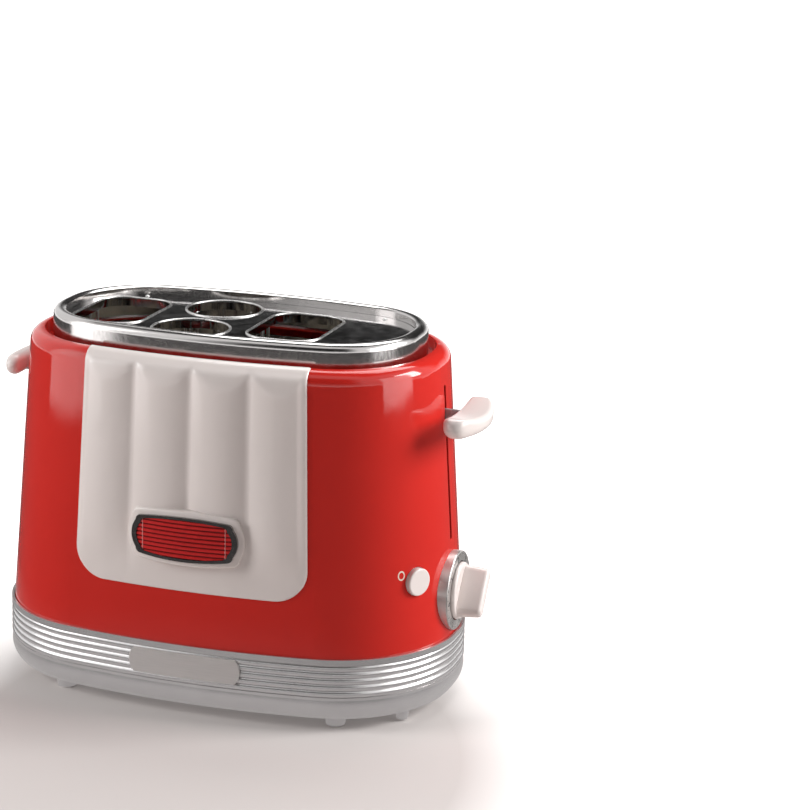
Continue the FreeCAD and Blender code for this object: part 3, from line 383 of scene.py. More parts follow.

# %% [markdown]
# The badge's face has nine ribs. The gaps between them are painted darker, as painted shade in the
# recesses, and a pale line crosses them near each end. Both follow the place on the piece: ping-pong
# folds the height into the distance from the nearest gap, and the absolute value does the same for the two
# lines.

# %% Badge face


def badge_red():
    red, pale = (0.62, 0.018, 0.018), (0.75, 0.35, 0.33)
    material, tree, shader = mottled("badge_red_lacquer", red, 0.22, 300, 0.9)
    painted = shader.inputs["Base Color"].links[0].from_socket
    low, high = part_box("badge_insert")
    pitch = (high.z - low.z) / 9
    line_x = high.x - 3.6 * mm
    place = add(tree, "ShaderNodeSeparateXYZ", {"Vector": own_place(tree)})
    from_gap = calculate(tree, "PINGPONG", calculate(tree, "SUBTRACT", place["Z"], low.z), pitch / 2)
    # painted shade: the colour darkens towards each gap between the ribs
    painted_gap_shade = spread(tree, from_gap, 0.85, 0, pitch * 0.08, pitch * 0.24)
    aside = calculate(tree, "SUBTRACT", calculate(tree, "ABSOLUTE", place["X"]), line_x)
    line = spread(tree, calculate(tree, "ABSOLUTE", aside), 0.55, 0, 0.2 * mm, 0.4 * mm)
    shaded = blend(tree, painted_gap_shade, painted, (*scaled(red, 0.08), 1))
    tree.links.new(blend(tree, line, shaded, (*pale, 1)), shader.inputs["Base Color"])
    return material


red_face = badge_red()
paint_nodes(red_face, ["badge_insert"])

# %% Turned dial


def turned_dial():
    grey = (0.66, 0.64, 0.62)
    material, tree, shader = new_finish("turned_dial", grey, 0.3, metallic=0.75)
    low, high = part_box("dial_ring")
    middle = (low + high) / 2
    place = add(tree, "ShaderNodeTexCoord")["Object"]
    centre = {0: place, 1: (0, middle.y, middle.z)}
    centred = add(tree, "ShaderNodeVectorMath", centre, operation="SUBTRACT")["Vector"]
    flat = add(tree, "ShaderNodeVectorMath", {0: centred, 1: (0, 1, 1)}, operation="MULTIPLY")["Vector"]
    inputs = {"W": length_of(tree, flat), "Scale": 6000}
    circles = add(tree, "ShaderNodeTexNoise", inputs, noise_dimensions="1D")["Fac"]
    vary_colour(tree, shader, circles, scaled(grey, 0.86), grey)
    vary_roughness(tree, shader, circles, 0.24, 0.36)
    return material


dial_metal = turned_dial()
paint_nodes(dial_metal, ["dial_ring"])

# %% [markdown]
# ## Tools for rule-made pieces
# What repeats or follows a path is made with Geometry Nodes: a tree takes sizes as named inputs, and
# the modifier that runs it is turned into a plain mesh at once, so that the export finds real faces.
# What follows the model's own faces is built from rings of points, with a skin between them.

# %% Node trees that become plain meshes


def new_tree(name, **inputs):
    """A geometry tree with, for each kind of socket, the named inputs; and its input and output nodes."""
    tree = bpy.data.node_groups.new(name, "GeometryNodeTree")
    for kind, labels in inputs.items():
        for label in labels.split(", "):
            tree.interface.new_socket(name=label, in_out="INPUT", socket_type="NodeSocket" + kind)
    tree.interface.new_socket(name="Geometry", in_out="OUTPUT", socket_type="NodeSocketGeometry")
    return tree, tree.nodes.new("NodeGroupInput").outputs, tree.nodes.new("NodeGroupOutput").inputs


def moved(tree, geometry, way):
    return add(tree, "GeometryNodeTransform", {"Geometry": geometry, "Translation": way})["Geometry"]


def close_tree(tree, geometry, material, out):
    """The two last nodes that every tree here ends in."""
    real = add(tree, "GeometryNodeRealizeInstances", {"Geometry": geometry})["Geometry"]
    finished = add(tree, "GeometryNodeSetMaterial", {"Geometry": real, "Material": material})["Geometry"]
    tree.links.new(finished, out["Geometry"])


def linked(name, data):
    """A new object in the scene."""
    thing = bpy.data.objects.new(name, data)
    bpy.context.collection.objects.link(thing)
    return thing


def as_mesh(thing):
    """The faces that an object's modifiers or its text come to, in place of the object."""
    bpy.context.view_layer.update()
    mesh = bpy.data.meshes.new_from_object(thing.evaluated_get(bpy.context.evaluated_depsgraph_get()))
    thing.modifiers.clear()
    bpy.data.objects.remove(thing)
    return mesh


def grown(name, tree, values, smooth=True):
    """Runs a tree with these input values and keeps what it makes as a plain mesh."""
    seed = linked(name + "_seed", bpy.data.meshes.new(name + "_seed"))
    modifier = seed.modifiers.new("grow", "NODES")
    modifier.node_group = tree
    for item in tree.interface.items_tree:
        if item.in_out == "INPUT" and item.name in values:
            modifier[item.identifier] = values[item.name]
    return placed(name, as_mesh(seed), smooth)


def placed(name, mesh, smooth=True):
    """Puts a finished mesh into the scene under its name, with its faces turned outwards."""
    shape = bmesh.new()
    shape.from_mesh(mesh)
    bmesh.ops.remove_doubles(shape, verts=shape.verts, dist=0.000002)
    bmesh.ops.recalc_face_normals(shape, faces=shape.faces)
    for face in shape.faces:
        face.smooth = smooth
    shape.to_mesh(mesh)
    shape.free()
    mesh.name = name
    print(name, len(mesh.polygons), "faces")
    return linked(name, mesh)


# %% Skins over rings of points


def skin(shape, rings):
    """Faces between each ring and the next; a ring that is one point gets triangles."""
    count = len(rings[0])
    for near, far in zip(rings, rings[1:]):
        for step in range(count):
            after = (step + 1) % count
            corners = (near[step], near[after], far[after], far[step])
            shape.faces.new(list(dict.fromkeys(corners)))


def whole_mesh(shape, name, material):
    """The finished mesh of a shape, in one material."""
    mesh = bpy.data.meshes.new(name)
    shape.to_mesh(mesh)
    shape.free()
    mesh.materials.append(material)
    return mesh


# %% [markdown]
# Rolled edges: the four openings in the steel plate end in a thin bright bead, where the sheet was
# rolled over. A swept curve does it: a rectangle with filleted corners, and a small circle run along
# it. A well is the same rectangle with the largest corner that fits, which makes it round.

# %% Rolled edges of the openings


def rolled_edge_tree():
    tree, given, out = new_tree(
        "rolled_edge", Float="Width, Length, Corner, Wire Radius", Vector="Place", Material="Material"
    )
    size = {"Width": given["Width"], "Height": given["Length"]}
    outline = add(tree, "GeometryNodeCurvePrimitiveQuadrilateral", size)["Curve"]
    corner = {"Curve": outline, "Count": 14, "Radius": given["Corner"], "Limit Radius": True}
    rounded = add(tree, "GeometryNodeFilletCurve", corner, mode="POLY")["Curve"]
    circle = {"Resolution": 12, "Radius": given["Wire Radius"]}
    section = add(tree, "GeometryNodeCurvePrimitiveCircle", circle)["Curve"]
    bead = add(tree, "GeometryNodeCurveToMesh", {"Curve": rounded, "Profile Curve": section})["Mesh"]
    close_tree(tree, moved(tree, bead, given["Place"]), given["Material"], out)
    return tree


plate_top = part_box("slot_plate")[1].z
bead_radius = 0.75 * mm
bun_slot = {"Width": 42 * mm, "Length": 64 * mm, "Corner": 14 * mm}
sausage_well = {"Width": 43 * mm, "Length": 43 * mm, "Corner": 21.4 * mm}
openings = {
    "bun_slot_edge_left": (bun_slot, -71 * mm, 0),
    "bun_slot_edge_right": (bun_slot, 33 * mm, 0),
    "sausage_well_edge_front": (sausage_well, -19 * mm, -25 * mm),
    "sausage_well_edge_rear": (sausage_well, -19 * mm, 25 * mm),
}
edge_tree = rolled_edge_tree()
edge_steel = drawn_wire()
edge_steel.name = "rolled_edge_steel"
for name, (sizes, x, y) in openings.items():
    values = {"Wire Radius": bead_radius, "Place": (x, y, plate_top), "Material": edge_steel}
    bead = grown(name, edge_tree, {**sizes, **values})
    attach(bead, "housing")

# %% [markdown]
# Rivets hold the plate to the ring. A rivet's head is a low dome, which a sphere flattened along Z
# gives, set a little into the sheet, and one instance stands on each point of a small grid. The
# screws below use the same dome and grid.

# %% Rivets of the plate


def low_dome(tree, radius, height, segments, rings):
    """A sphere that is flattened along Z to a height."""
    sphere = {"Segments": segments, "Rings": rings, "Radius": radius}
    ball = add(tree, "GeometryNodeMeshUVSphere", sphere)["Mesh"]
    share = calculate(tree, "DIVIDE", height, radius)
    flat = add(tree, "ShaderNodeCombineXYZ", {"X": 1.0, "Y": 1.0, "Z": share})["Vector"]
    return add(tree, "GeometryNodeTransform", {"Geometry": ball, "Scale": flat})["Geometry"]


def on_four_corners(tree, given, thing):
    """A copy of a thing on each corner of a rectangle round a place."""
    corners = {"Size X": given["Spacing X"], "Size Y": given["Spacing Y"], "Vertices X": 2, "Vertices Y": 2}
    grid = add(tree, "GeometryNodeMeshGrid", corners)["Mesh"]
    copies = add(tree, "GeometryNodeInstanceOnPoints", {"Points": grid, "Instance": thing})["Instances"]
    return moved(tree, copies, given["Place"])


def rivet_tree():
    tree, given, out = new_tree(
        "rivets", Float="Spacing X, Spacing Y, Radius, Height", Vector="Place", Material="Material"
    )
    dome = low_dome(tree, given["Radius"], given["Height"], 24, 12)
    close_tree(tree, on_four_corners(tree, given, dome), given["Material"], out)
    return tree


rivets = grown(
    "plate_rivets",
    rivet_tree(),
    {
        "Spacing X": 144 * mm,
        "Spacing Y": 77 * mm,
        "Radius": 1.4 * mm,
        "Height": 0.8 * mm,
        "Place": (0, 0, plate_top),
        "Material": edge_steel,
    },
)
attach(rivets, "housing")

# %% [markdown]
# Screws under the floor plate have a domed head with a cross for the screwdriver. The head is the
# same flattened sphere on a short shank, and two crossed blocks are taken out of it.

# %% Cross-head screws


def screw_tree():
    tree, given, out = new_tree(
        "cross_head_screws",
        Float="Spacing X, Spacing Y, Head Radius, Head Height, Shank Radius, Shank Length",
        Vector="Place",
        Material="Material",
    )
    radius, height, length = given["Head Radius"], given["Head Height"], given["Shank Length"]
    headed = low_dome(tree, radius, height, 36, 16)
    cut_long = calculate(tree, "MULTIPLY", radius, 1.1)
    cut_short = calculate(tree, "MULTIPLY", radius, 0.22)
    down = add(tree, "ShaderNodeVectorMath", {0: (0, 0, -1), 3: height}, operation="SCALE")["Vector"]
    for x, y in ((cut_long, cut_short), (cut_short, cut_long)):
        size = add(tree, "ShaderNodeCombineXYZ", {"X": x, "Y": y, "Z": height})["Vector"]
        block = moved(tree, add(tree, "GeometryNodeMeshCube", {"Size": size})["Mesh"], down)
        cut = {"Mesh 1": headed, "Mesh 2": block}
        headed = add(tree, "GeometryNodeMeshBoolean", cut, operation="DIFFERENCE")["Mesh"]
    half_way = add(tree, "ShaderNodeCombineXYZ", {"Z": calculate(tree, "MULTIPLY", length, 0.5)})
    rod = {"Vertices": 24, "Radius": given["Shank Radius"], "Depth": length}
    shank = moved(tree, add(tree, "GeometryNodeMeshCylinder", rod)["Mesh"], half_way["Vector"])
    whole = add(tree, "GeometryNodeJoinGeometry")["Geometry"]
    for part in (headed, shank):
        tree.links.new(part, whole.node.inputs["Geometry"])
    close_tree(tree, on_four_corners(tree, given, whole), given["Material"], out)
    return tree


screw_low, screw_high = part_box("base_screws")
screw_head_radius = 3.4 * mm
screw_head_height = 1.4 * mm
screws = grown(
    "cross_head_screws",
    screw_tree(),
    {
        "Spacing X": screw_high.x - screw_low.x - 2 * screw_head_radius,
        "Spacing Y": screw_high.y - screw_low.y - 2 * screw_head_radius,
        "Head Radius": screw_head_radius,
        "Head Height": screw_head_height,
        "Shank Radius": 1.6 * mm,
        "Shank Length": screw_high.z - screw_low.z - screw_head_height,
        "Place": (0, 0, screw_low.z + screw_head_height),
        "Material": zinc,
    },
    smooth=False,
)
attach(screws, "housing")
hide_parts("base_screws")

# %% [markdown]
# Dial print: short marks and plain numbers are printed round the knob. The marks are one thin block,
# set by Geometry Nodes on each point of a circle and turned by the point's index. The numbers start
# as text, which becomes a mesh before it is turned to face +X.

# %% Marks on the dial


def printed_black():
    black, grey = (0.03, 0.03, 0.032), (0.05, 0.05, 0.052)
    return mottled("printed_black", black, 0.5, 900, 0.7, bright=grey)[0]


def dial_mark_tree():
    tree, given, out = new_tree(
        "dial_marks", Int="Count", Float="Circle Radius", Vector="Mark Size, Place", Material="Material"
    )
    circle = {"Vertices": given["Count"], "Radius": given["Circle Radius"]}
    points = add(tree, "GeometryNodeMeshCircle", circle)["Mesh"]
    index = add(tree, "GeometryNodeInputIndex")["Index"]
    angle = calculate(tree, "MULTIPLY", calculate(tree, "DIVIDE", index, given["Count"]), math.tau)
    spin = add(tree, "ShaderNodeCombineXYZ", {"Z": angle})["Vector"]
    block = add(tree, "GeometryNodeMeshCube", {"Size": given["Mark Size"]})["Mesh"]
    copies = {"Points": points, "Instance": block, "Rotation": spin}
    marks = add(tree, "GeometryNodeInstanceOnPoints", copies)["Instances"]
    to_front = {"Geometry": marks, "Translation": given["Place"], "Rotation": (0.0, math.pi / 2, 0.0)}
    faced = add(tree, "GeometryNodeTransform", to_front)["Geometry"]
    close_tree(tree, faced, given["Material"], out)
    return tree


dial_low, dial_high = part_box("dial_ring")
dial_centre = Vector((dial_high.x, 0, (dial_low.z + dial_high.z) / 2))
print_rise = 0.04 * mm
ink = printed_black()
dial_marks = grown(
    "dial_marks",
    dial_mark_tree(),
    {
        "Count": 24,
        "Circle Radius": 20.6 * mm,
        "Mark Size": (1.3 * mm, 0.5 * mm, 2 * print_rise),
        "Place": dial_centre,
        "Material": ink,
    },
    smooth=False,
)
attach(dial_marks, "housing")

# %% Numbers on the dial


def number_mesh(text, height, depth):
    """A number as a mesh in its own plane, centred on the origin."""
    words = bpy.data.curves.new("number_" + text, "FONT")
    words.body = text
    words.align_x = "CENTER"
    words.align_y = "CENTER"
    words.size = height
    words.extrude = depth
    words.offset = height * 0.02
    return as_mesh(linked("number_holder", words))


def numbers_round_the_dial(numbers, first, step, radius, height):
    """The numbers on one mesh, each with its head outwards, at angles from the top in degrees."""
    face_on = Matrix(((0, 0, 1), (1, 0, 0), (0, 1, 0))).to_4x4()
    joined = bmesh.new()
    for order, text in enumerate(numbers):
        turn = Matrix.Rotation(-math.radians(first + order * step), 4, "Z")
        out = Matrix.Translation((0, radius, 0))
        mesh = number_mesh(text, height, print_rise)
        mesh.transform(Matrix.Translation(dial_centre) @ face_on @ turn @ out)
        joined.from_mesh(mesh)
    return whole_mesh(joined, "dial_numbers", ink)


number_ring = numbers_round_the_dial("0123456", -98, 45, 18.3 * mm, 4.6 * mm)
dial_numbers = placed("dial_numbers", number_ring, smooth=False)
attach(dial_numbers, "housing")

# %% [markdown]
# The mark beside the button is a plain printed ring. The shell is curved there, so each point of the
# ring is dropped onto the shell along the button's axis, and the ring is a closed skin a few
# hundredths of a millimetre thick, half of it in the enamel.

# %% Ring mark beside the button


def drop_on(node):
    """A search tree of a CAD node's faces, for rays."""
    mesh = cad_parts[node].data
    return BVHTree.FromPolygons(
        [vertex.co for vertex in mesh.vertices], [face.vertices for face in mesh.polygons]
    )


def printed_ring(node, centre, axis, inner, outer, rise, material):
    tree = drop_on(node)
    across = axis.cross(Vector((0, 0, 1))).normalized()
    up = across.cross(axis)
    count = 48
    narrowing = 0.82
    shape = bmesh.new()
    rings = []
    for radius, lift in ((inner, -rise), (inner, rise), (outer, rise), (outer, -rise)):
        ring = []
        for step in range(count):
            turn = math.tau * step / count
            spot = centre + (across * math.cos(turn) * narrowing + up * math.sin(turn)) * radius
            hit = tree.ray_cast(spot + axis * 20 * mm, -axis)[0]
            ring.append(shape.verts.new(hit + axis * lift))
        rings.append(ring)
    skin(shape, [*rings, rings[0]])
    return whole_mesh(shape, "stop_mark", material)


def printed_cream():
    return mottled("printed_cream", (0.80, 0.74, 0.62), 0.4, 1200, 0.9)[0]


button_axis = Vector((0.8707, -0.4918, 0))
mark_centre = Vector((111.9, -45.6, 85.7)) * mm
ring_sizes = (1.9 * mm, 2.7 * mm, 0.05 * mm)
ring_mesh = printed_ring("outer_shell", mark_centre, button_axis, *ring_sizes, printed_cream())
stop_mark = placed("stop_mark", ring_mesh, smooth=False)
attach(stop_mark, "housing")

# %% [markdown]
# Levers: each is a thick white paddle, soft to the thumb, with a scooped top. The solids have plain
# edges, and the left one is larger than its paddle. A loft gives the soft form: one rounded section
# for each step along the paddle, with small radii above, large ones below, and ends that close like
# a bow.

# %% Rounded sections and lofts


def rounded_section(half_wide, half_high, top_radius, foot_radius, steps=6):
    """Points of an upright rounded rectangle round the origin, anticlockwise."""
    points = []
    corners = ((1, 1, top_radius), (-1, 1, top_radius), (-1, -1, foot_radius), (1, -1, foot_radius))
    for order, (side, level, radius) in enumerate(corners):
        radius = min(radius, 0.98 * half_wide, 0.98 * half_high)
        centre = (side * (half_wide - radius), level * (half_high - radius))
        for step in range(steps + 1):
            turn = math.radians(90 * (order + step / steps))
            points.append((centre[0] + radius * math.cos(turn), centre[1] + radius * math.sin(turn)))
    return points


def lofted(name, rings, material):
    """A closed skin over rings of equal count, with a flat cap on each end."""
    shape = bmesh.new()
    made = [[shape.verts.new(spot) for spot in ring] for ring in rings]
    skin(shape, made)
    shape.faces.new(made[0])
    shape.faces.new(made[-1])
    return placed(name, whole_mesh(shape, name, material))


# %% Soft levers


def soft_lever(name, node, side, shorter, half_span, shift, scoop, raised):
    """A paddle on the arm of its node: shorter by its tip, hollowed by its scoop, its foot raised."""
    low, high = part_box(node)
    foot = low.z + raised
    inner = min(abs(low.x), abs(high.x))
    outer = max(abs(low.x), abs(high.x)) - shorter
    tip = min(6.5 * mm, 0.42 * (outer - inner))
    end_round = 7 * mm
    tip_x = inner + tip
    aside = half_span - tip
    deep = outer - tip_x
    bow = (deep**2 + aside**2 - tip**2) / (2 * (deep - tip))
    scoop_radius = (half_span**2 + scoop**2) / (2 * scoop)
    drawn_half_span = half_span * 0.9995
    rings = []
    count = 56
    for step in range(count + 1):
        y = -drawn_half_span * math.cos(math.pi * step / count)
        past = max(0, abs(y) - aside)
        tip_half = math.sqrt(max(tip**2 - past**2, 0))
        near = tip_x - tip_half
        bowed = outer - bow + math.sqrt(bow**2 - y**2)
        far = min(bowed, tip_x + tip_half if past > 0.3 * tip else outer)
        top = high.z - scoop + scoop_radius - math.sqrt(scoop_radius**2 - y**2)
        into_end = max(0, abs(y) - (half_span - end_round)) / end_round
        share = math.sqrt(max(1 - into_end**2, 0.0004))
        half_wide = max((far - near) / 2, 0.05 * mm)
        half_high = (top - foot) / 2 * share
        section = rounded_section(half_wide, half_high, 3.2 * mm, 5.4 * mm)
        x, z = (near + far) / 2, (top + foot) / 2
        rings.append([Vector((side * (x + u), y + shift, z + v)) for u, v in section])
    lever = lofted(name, rings, white_gloss)
    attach(lever, "carriage")
    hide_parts(node)


soft_lever("soft_lever_right", "lever_right", 1, 0, 30 * mm, -2 * mm, 3 * mm, 0)
soft_lever("soft_lever_left", "lever_left", -1, 7.2 * mm, 19.5 * mm, 0, 0.4 * mm, 0.8 * mm)

# %% [markdown]
# The knob is a low disc with a bar across it for the fingers. Both are moulded with generous radii,
# so the bar is a loft that draws in towards its front, and the disc is turned from a short outline.

# %% Disc of the knob

knob_low, knob_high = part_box("browning_knob")
knob_z = (knob_low.z + knob_high.z) / 2
disc_radius = (knob_high.z - knob_low.z) / 2
disc_front = 133.7 * mm


def turned_disc(outline, steps=72):
    """A mesh turned round the knob's axis from (x, radius) points that start and end on the axis."""
    shape = bmesh.new()
    turns = [math.tau * step / steps for step in range(steps)]
    rings = []
    for x, radius in outline:
        if radius == 0:
            rings.append([shape.verts.new((x, 0, knob_z))] * steps)
            continue
        spots = [(x, radius * math.sin(t), knob_z + radius * math.cos(t)) for t in turns]
        rings.append([shape.verts.new(spot) for spot in spots])
    skin(shape, rings)
    return whole_mesh(shape, "soft_knob_disc", white_gloss)


edge_radius = 1.2 * mm
back = [(knob_low.x, 0), (knob_low.x, disc_radius)]
edge = [
    (disc_front + edge_radius * (math.sin(t) - 1), disc_radius + edge_radius * (math.cos(t) - 1))
    for t in (0, 0.26, 0.52, 0.79, 1.05, 1.31, 1.57)
]
dish = [(disc_front - 0.5 * mm, disc_radius - 4.5 * mm), (disc_front - 0.7 * mm, 0)]
knob_disc = placed("soft_knob_disc", turned_disc([*back, *edge, *dish]))
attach(knob_disc, "knob")
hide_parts("browning_knob")

# %% Bar of the knob


def knob_bar():
    """The bar at its turned angle: (x, inset) steps up its sides and round its front edge."""
    bar_turn = math.radians(37)
    half_long, half_thick = 15 * mm, 4.5 * mm
    side_radius, front_radius, draft = 3.6 * mm, 2.6 * mm, 0.8 * mm
    shoulder = knob_high.x - front_radius
    steps = [(disc_front - 0.9 * mm, 0.0), (disc_front, 0.0), (shoulder, draft)]
    for step in range(1, 8):
        turn = math.radians(90 * step / 7)
        inset = draft + front_radius * (1 - math.cos(turn))
        steps.append((shoulder + front_radius * math.sin(turn), inset))
    rings = []
    for x, inset in steps:
        ring = []
        for u, v in rounded_section(half_thick - inset, half_long - inset, side_radius, side_radius):
            y = u * math.cos(bar_turn) + v * math.sin(bar_turn)
            z = v * math.cos(bar_turn) - u * math.sin(bar_turn)
            ring.append(Vector((x, y, knob_z + z)))
        rings.append(ring)
    return lofted("soft_knob_grip", rings, white_gloss)


knob_grip = knob_bar()
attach(knob_grip, "knob")

# %% [markdown]
# The front panel is one moulding with four upright flutes that meet in soft valleys, end in a short
# slope under the rim and die away at the foot. Its solid has the true outline and rise. A grid gives
# the soft form: each point is dropped onto the shell, then lifted by the panel's step, the flute's
# arch and a rounded border. Where the arch and the top slope meet, a smooth minimum of the two keeps
# the crease soft.

# %% Soft panel


def smooth_least(a, b, blend):
    """The smaller of two heights, rounded over where they are about equal."""
    share = max(blend - abs(a - b), 0) / blend
    return min(a, b) - share * share * blend / 4


def eased(value):
    value = min(max(value, 0), 1)
    return value * value * (3 - 2 * value)


panel_low, panel_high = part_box("front_panel")
panel_foot = panel_low.z
panel_corner = 18 * mm
panel_step = 1.0 * mm
panel_top_half = 63.4 * mm
foot_pitch, top_pitch = 34.6 * mm, 32.5 * mm
flute_rise, flute_fade = 3.4 * mm, 38 * mm
valley_rise, valley_width = 0.35 * mm, 0.8 * mm
slope_end, slope_fall = 196.5 * mm, 0.36
crease_radius, border_radius, border_ease = 1.2 * mm, 1.4 * mm, 5 * mm
shoulder_radius = 7.7 * mm
shoulder_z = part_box("outer_shell")[1].z - shoulder_radius


def panel_half_width(z):
    """Half the panel's width at a height, less what its lower corners take away."""
    share = (z - panel_foot) / (panel_high.z - panel_foot)
    half = panel_high.x + (panel_top_half - panel_high.x) * min(share, 1)
    below = max(panel_foot + panel_corner - z, 0)
    return half - panel_corner + math.sqrt(max(panel_corner**2 - below**2, 0))


def border_distance(x, z):
    """How far a point is inside the panel's outline."""
    centre_x = panel_half_width(panel_foot + panel_corner) - panel_corner
    centre_z = panel_foot + panel_corner
    if abs(x) > centre_x and z < centre_z:
        return panel_corner - math.hypot(abs(x) - centre_x, z - centre_z)
    return min(panel_half_width(max(z, centre_z)) - abs(x), z - panel_foot)


def panel_rise(x, z):
    """Height of the panel's face above the shell."""
    share = (z - panel_foot) / (panel_high.z - panel_foot)
    pitch = foot_pitch + (top_pitch - foot_pitch) * min(share, 1)
    across = (x / pitch) % 1 - 0.5
    from_valley = (0.5 - abs(across)) * pitch
    arch = flute_rise * (1 - (2 * across) ** 2)
    arch = arch + valley_rise * math.exp(-((from_valley / valley_width) ** 2))
    arch = arch * eased((z - panel_foot - 2 * mm) / flute_fade)
    slope = (slope_end - z) * slope_fall
    lifted = max(smooth_least(arch, max(slope, 0), crease_radius), 0)
    inside = max(border_distance(x, z), 0)
    edge = min(inside / border_radius, 1)
    return (panel_step + lifted * eased(inside / border_ease)) * math.sqrt(1 - (1 - edge) ** 2)


def seen_from_front(tree, x, z):
    """Where a ray that starts in front of the toaster meets the faces."""
    return tree.ray_cast(Vector((x, -0.2, z)), Vector((0, 1, 0)))[0]


def shell_spot(tree, x, z):
    """Place and outward direction on the shell, for heights that go on round its shoulder."""
    if z <= shoulder_z:
        return seen_from_front(tree, x, z), Vector((0, -1, 0))
    turn = min((z - shoulder_z) / shoulder_radius, math.pi / 2)
    out = Vector((0, -math.cos(turn), math.sin(turn)))
    centre = seen_from_front(tree, x, shoulder_z) + Vector((0, shoulder_radius, 0))
    hit = tree.ray_cast(centre + out * 30 * mm, -out)[0]
    return (hit or centre + out * shoulder_radius), out


def soft_panel():
    tree = drop_on("outer_shell")
    arc_end = shoulder_z + shoulder_radius * math.radians(84)
    columns = 176
    corner_rows = [panel_foot + panel_corner * (1 - math.cos(math.radians(a))) for a in range(0, 90, 5)]
    straight = [panel_foot + panel_corner + step * 2.2 * mm for step in range(200)]
    fine_from = 180 * mm
    heights = corner_rows + [z for z in straight if z < fine_from]
    fine = [fine_from + step * 0.9 * mm for step in range(60)]
    heights += [z for z in fine if z < arc_end] + [arc_end]
    shape = bmesh.new()
    front, back = [], []
    for z in heights:
        half = panel_half_width(z)
        front_row, back_row = [], []
        for column in range(columns + 1):
            share = 2 * column / columns - 1
            x = half * math.copysign(1 - (1 - abs(share)) ** 1.15, share)
            spot, out = shell_spot(tree, x, z)
            sunk = spot - out * 0.25 * mm
            back_row.append(shape.verts.new(sunk))
            front_row.append(shape.verts.new(spot + out * (panel_rise(x, z) - 0.1 * mm)))
        front.append(front_row)
        back.append(back_row)
    for rows, flip in ((front, False), (back, True)):
        for near, far in zip(rows, rows[1:]):
            for column in range(columns):
                corners = [near[column], near[column + 1], far[column + 1], far[column]]
                shape.faces.new(corners[::-1] if flip else corners)
    border = [(row[0], other[0]) for row, other in zip(front, back)]
    far_border = [(row[-1], other[-1]) for row, other in zip(front, back)]
    for line in (border, far_border, list(zip(front[0], back[0])), list(zip(front[-1], back[-1]))):
        for (a, b), (c, d) in zip(line, line[1:]):
            shape.faces.new((a, b, d, c))
    return placed("soft_front_panel", whole_mesh(shape, "soft_front_panel", white_gloss))


panel = soft_panel()
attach(panel, "housing")
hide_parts("front_panel")
print("panel rise at a crest", panel_rise(0.017, 0.14))

# %% [markdown]
# The badge stands on a raised seat of the same moulding, a little larger than the badge all round.
# Its walls are steep and its edge is sharp against the flutes, which a grid of dropped points would
# tear into steps. So the seat is a loft of its own: the badge's outline, drawn in a little at each
# step towards the front, and laid on the badge's large cylinder.

# %% Seat of the badge

seat_low, seat_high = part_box("badge_bezel")
seat_margin = 3 * mm
seat_radius = 150 * mm
seat_z = (seat_low.z + seat_high.z) / 2
top_bulge = 1.7 * mm
end_bulge = 2.6 * mm
seat_corner = 3.8 * mm


def seat_outline(inset):
    """(x, z) points of the seat's edge, drawn in by an inset, clockwise from the middle of the top."""
    long = seat_high.x - end_bulge + seat_margin - inset
    high = seat_high.z - seat_z - top_bulge + seat_margin - inset
    flat = long - seat_corner
    tall = high - seat_corner
    quarter = []
    for step in range(13):
        share = step / 12
        quarter.append((flat * share, high + top_bulge * (1 - share**2)))
    for angle in (22.5, 45, 67.5):
        turn = math.radians(angle)
        quarter.append((flat + seat_corner * math.sin(turn), tall + seat_corner * math.cos(turn)))
    for step in range(9):
        share = 1 - step / 8
        quarter.append((long + end_bulge * (1 - share**2), tall * share))
    right = quarter + [(x, -z) for x, z in reversed(quarter[:-1])]
    return right + [(-x, z) for x, z in reversed(right[1:-1])]


def badge_seat():
    front = seen_from_front(drop_on("front_panel"), 0, seat_z).y
    rings = []
    for inset, back in ((0, 9), (0, 0.9), (0.1, 0.48), (0.36, 0.15), (0.8, 0.01), (4.5, 0.01)):
        ring = []
        for x, z in seat_outline(inset * mm):
            y = front + seat_radius - math.sqrt(seat_radius**2 - x**2) + back * mm
            ring.append(Vector((x, y, seat_z + z)))
        rings.append(ring)
    return lofted("badge_seat", rings, white_gloss)


seat = badge_seat()
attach(seat, "housing")

# %% [markdown]
# ## Floor, light and camera
# The toaster stands in a plain, bright studio: a pale floor that runs out of sight, large soft lamps
# at the left, the right and above behind, and a white surround for what the camera and bright metal
# see. The floor glows a little for the camera and for mirrors only, so that it is white far away. In an
# ellipse in front of the toaster it doesn't glow and stays darker, as a painted shadow round the
# toaster's own soft shadow. Its glow puts no light on the toaster.

# %% Rays that see the white set


def sees_the_set(tree):
    """1 for camera, mirror and glass rays, and 0 for the rays that carry light from face to face."""
    rays = add(tree, "ShaderNodeLightPath")
    seen = rays["Is Camera Ray"]
    for name in ("Is Glossy Ray", "Is Transmission Ray"):
        seen = calculate(tree, "MAXIMUM", seen, rays[name])
    return seen


# %% Floor


def floor_material(middle, reach, turn, fade):
    """Pale floor with a painted shadow: inside an ellipse it doesn't glow and stays darker, and outside it
    the glow grows to full white.
    """
    material, tree, shader = mottled("pale_floor", (0.66, 0.61, 0.59), 0.25, 6, 0.985)
    place = add(tree, "ShaderNodeTexCoord")["Object"]
    round_it = {"Vector": place, "Location": (*middle, 0), "Rotation": (0, 0, turn), "Scale": (*reach, 1)}
    painted_shadow_ellipse = add(tree, "ShaderNodeMapping", round_it, vector_type="TEXTURE")["Vector"]
    level = spread(tree, length_of(tree, painted_shadow_ellipse), 0.0, 1.0, 1 - fade, 1 + fade)
    shader.inputs["Emission Color"].default_value = (1, 1, 1, 1)
    glow = calculate(tree, "MULTIPLY", level, sees_the_set(tree))
    tree.links.new(glow, shader.inputs["Emission Strength"])
    return material


def flat_sheet(name, corners, material):
    mesh = bpy.data.meshes.new(name)
    mesh.from_pydata(corners, [], [(0, 1, 2, 3)])
    mesh.materials.append(material)
    sheet = linked(name, mesh)
    return sheet


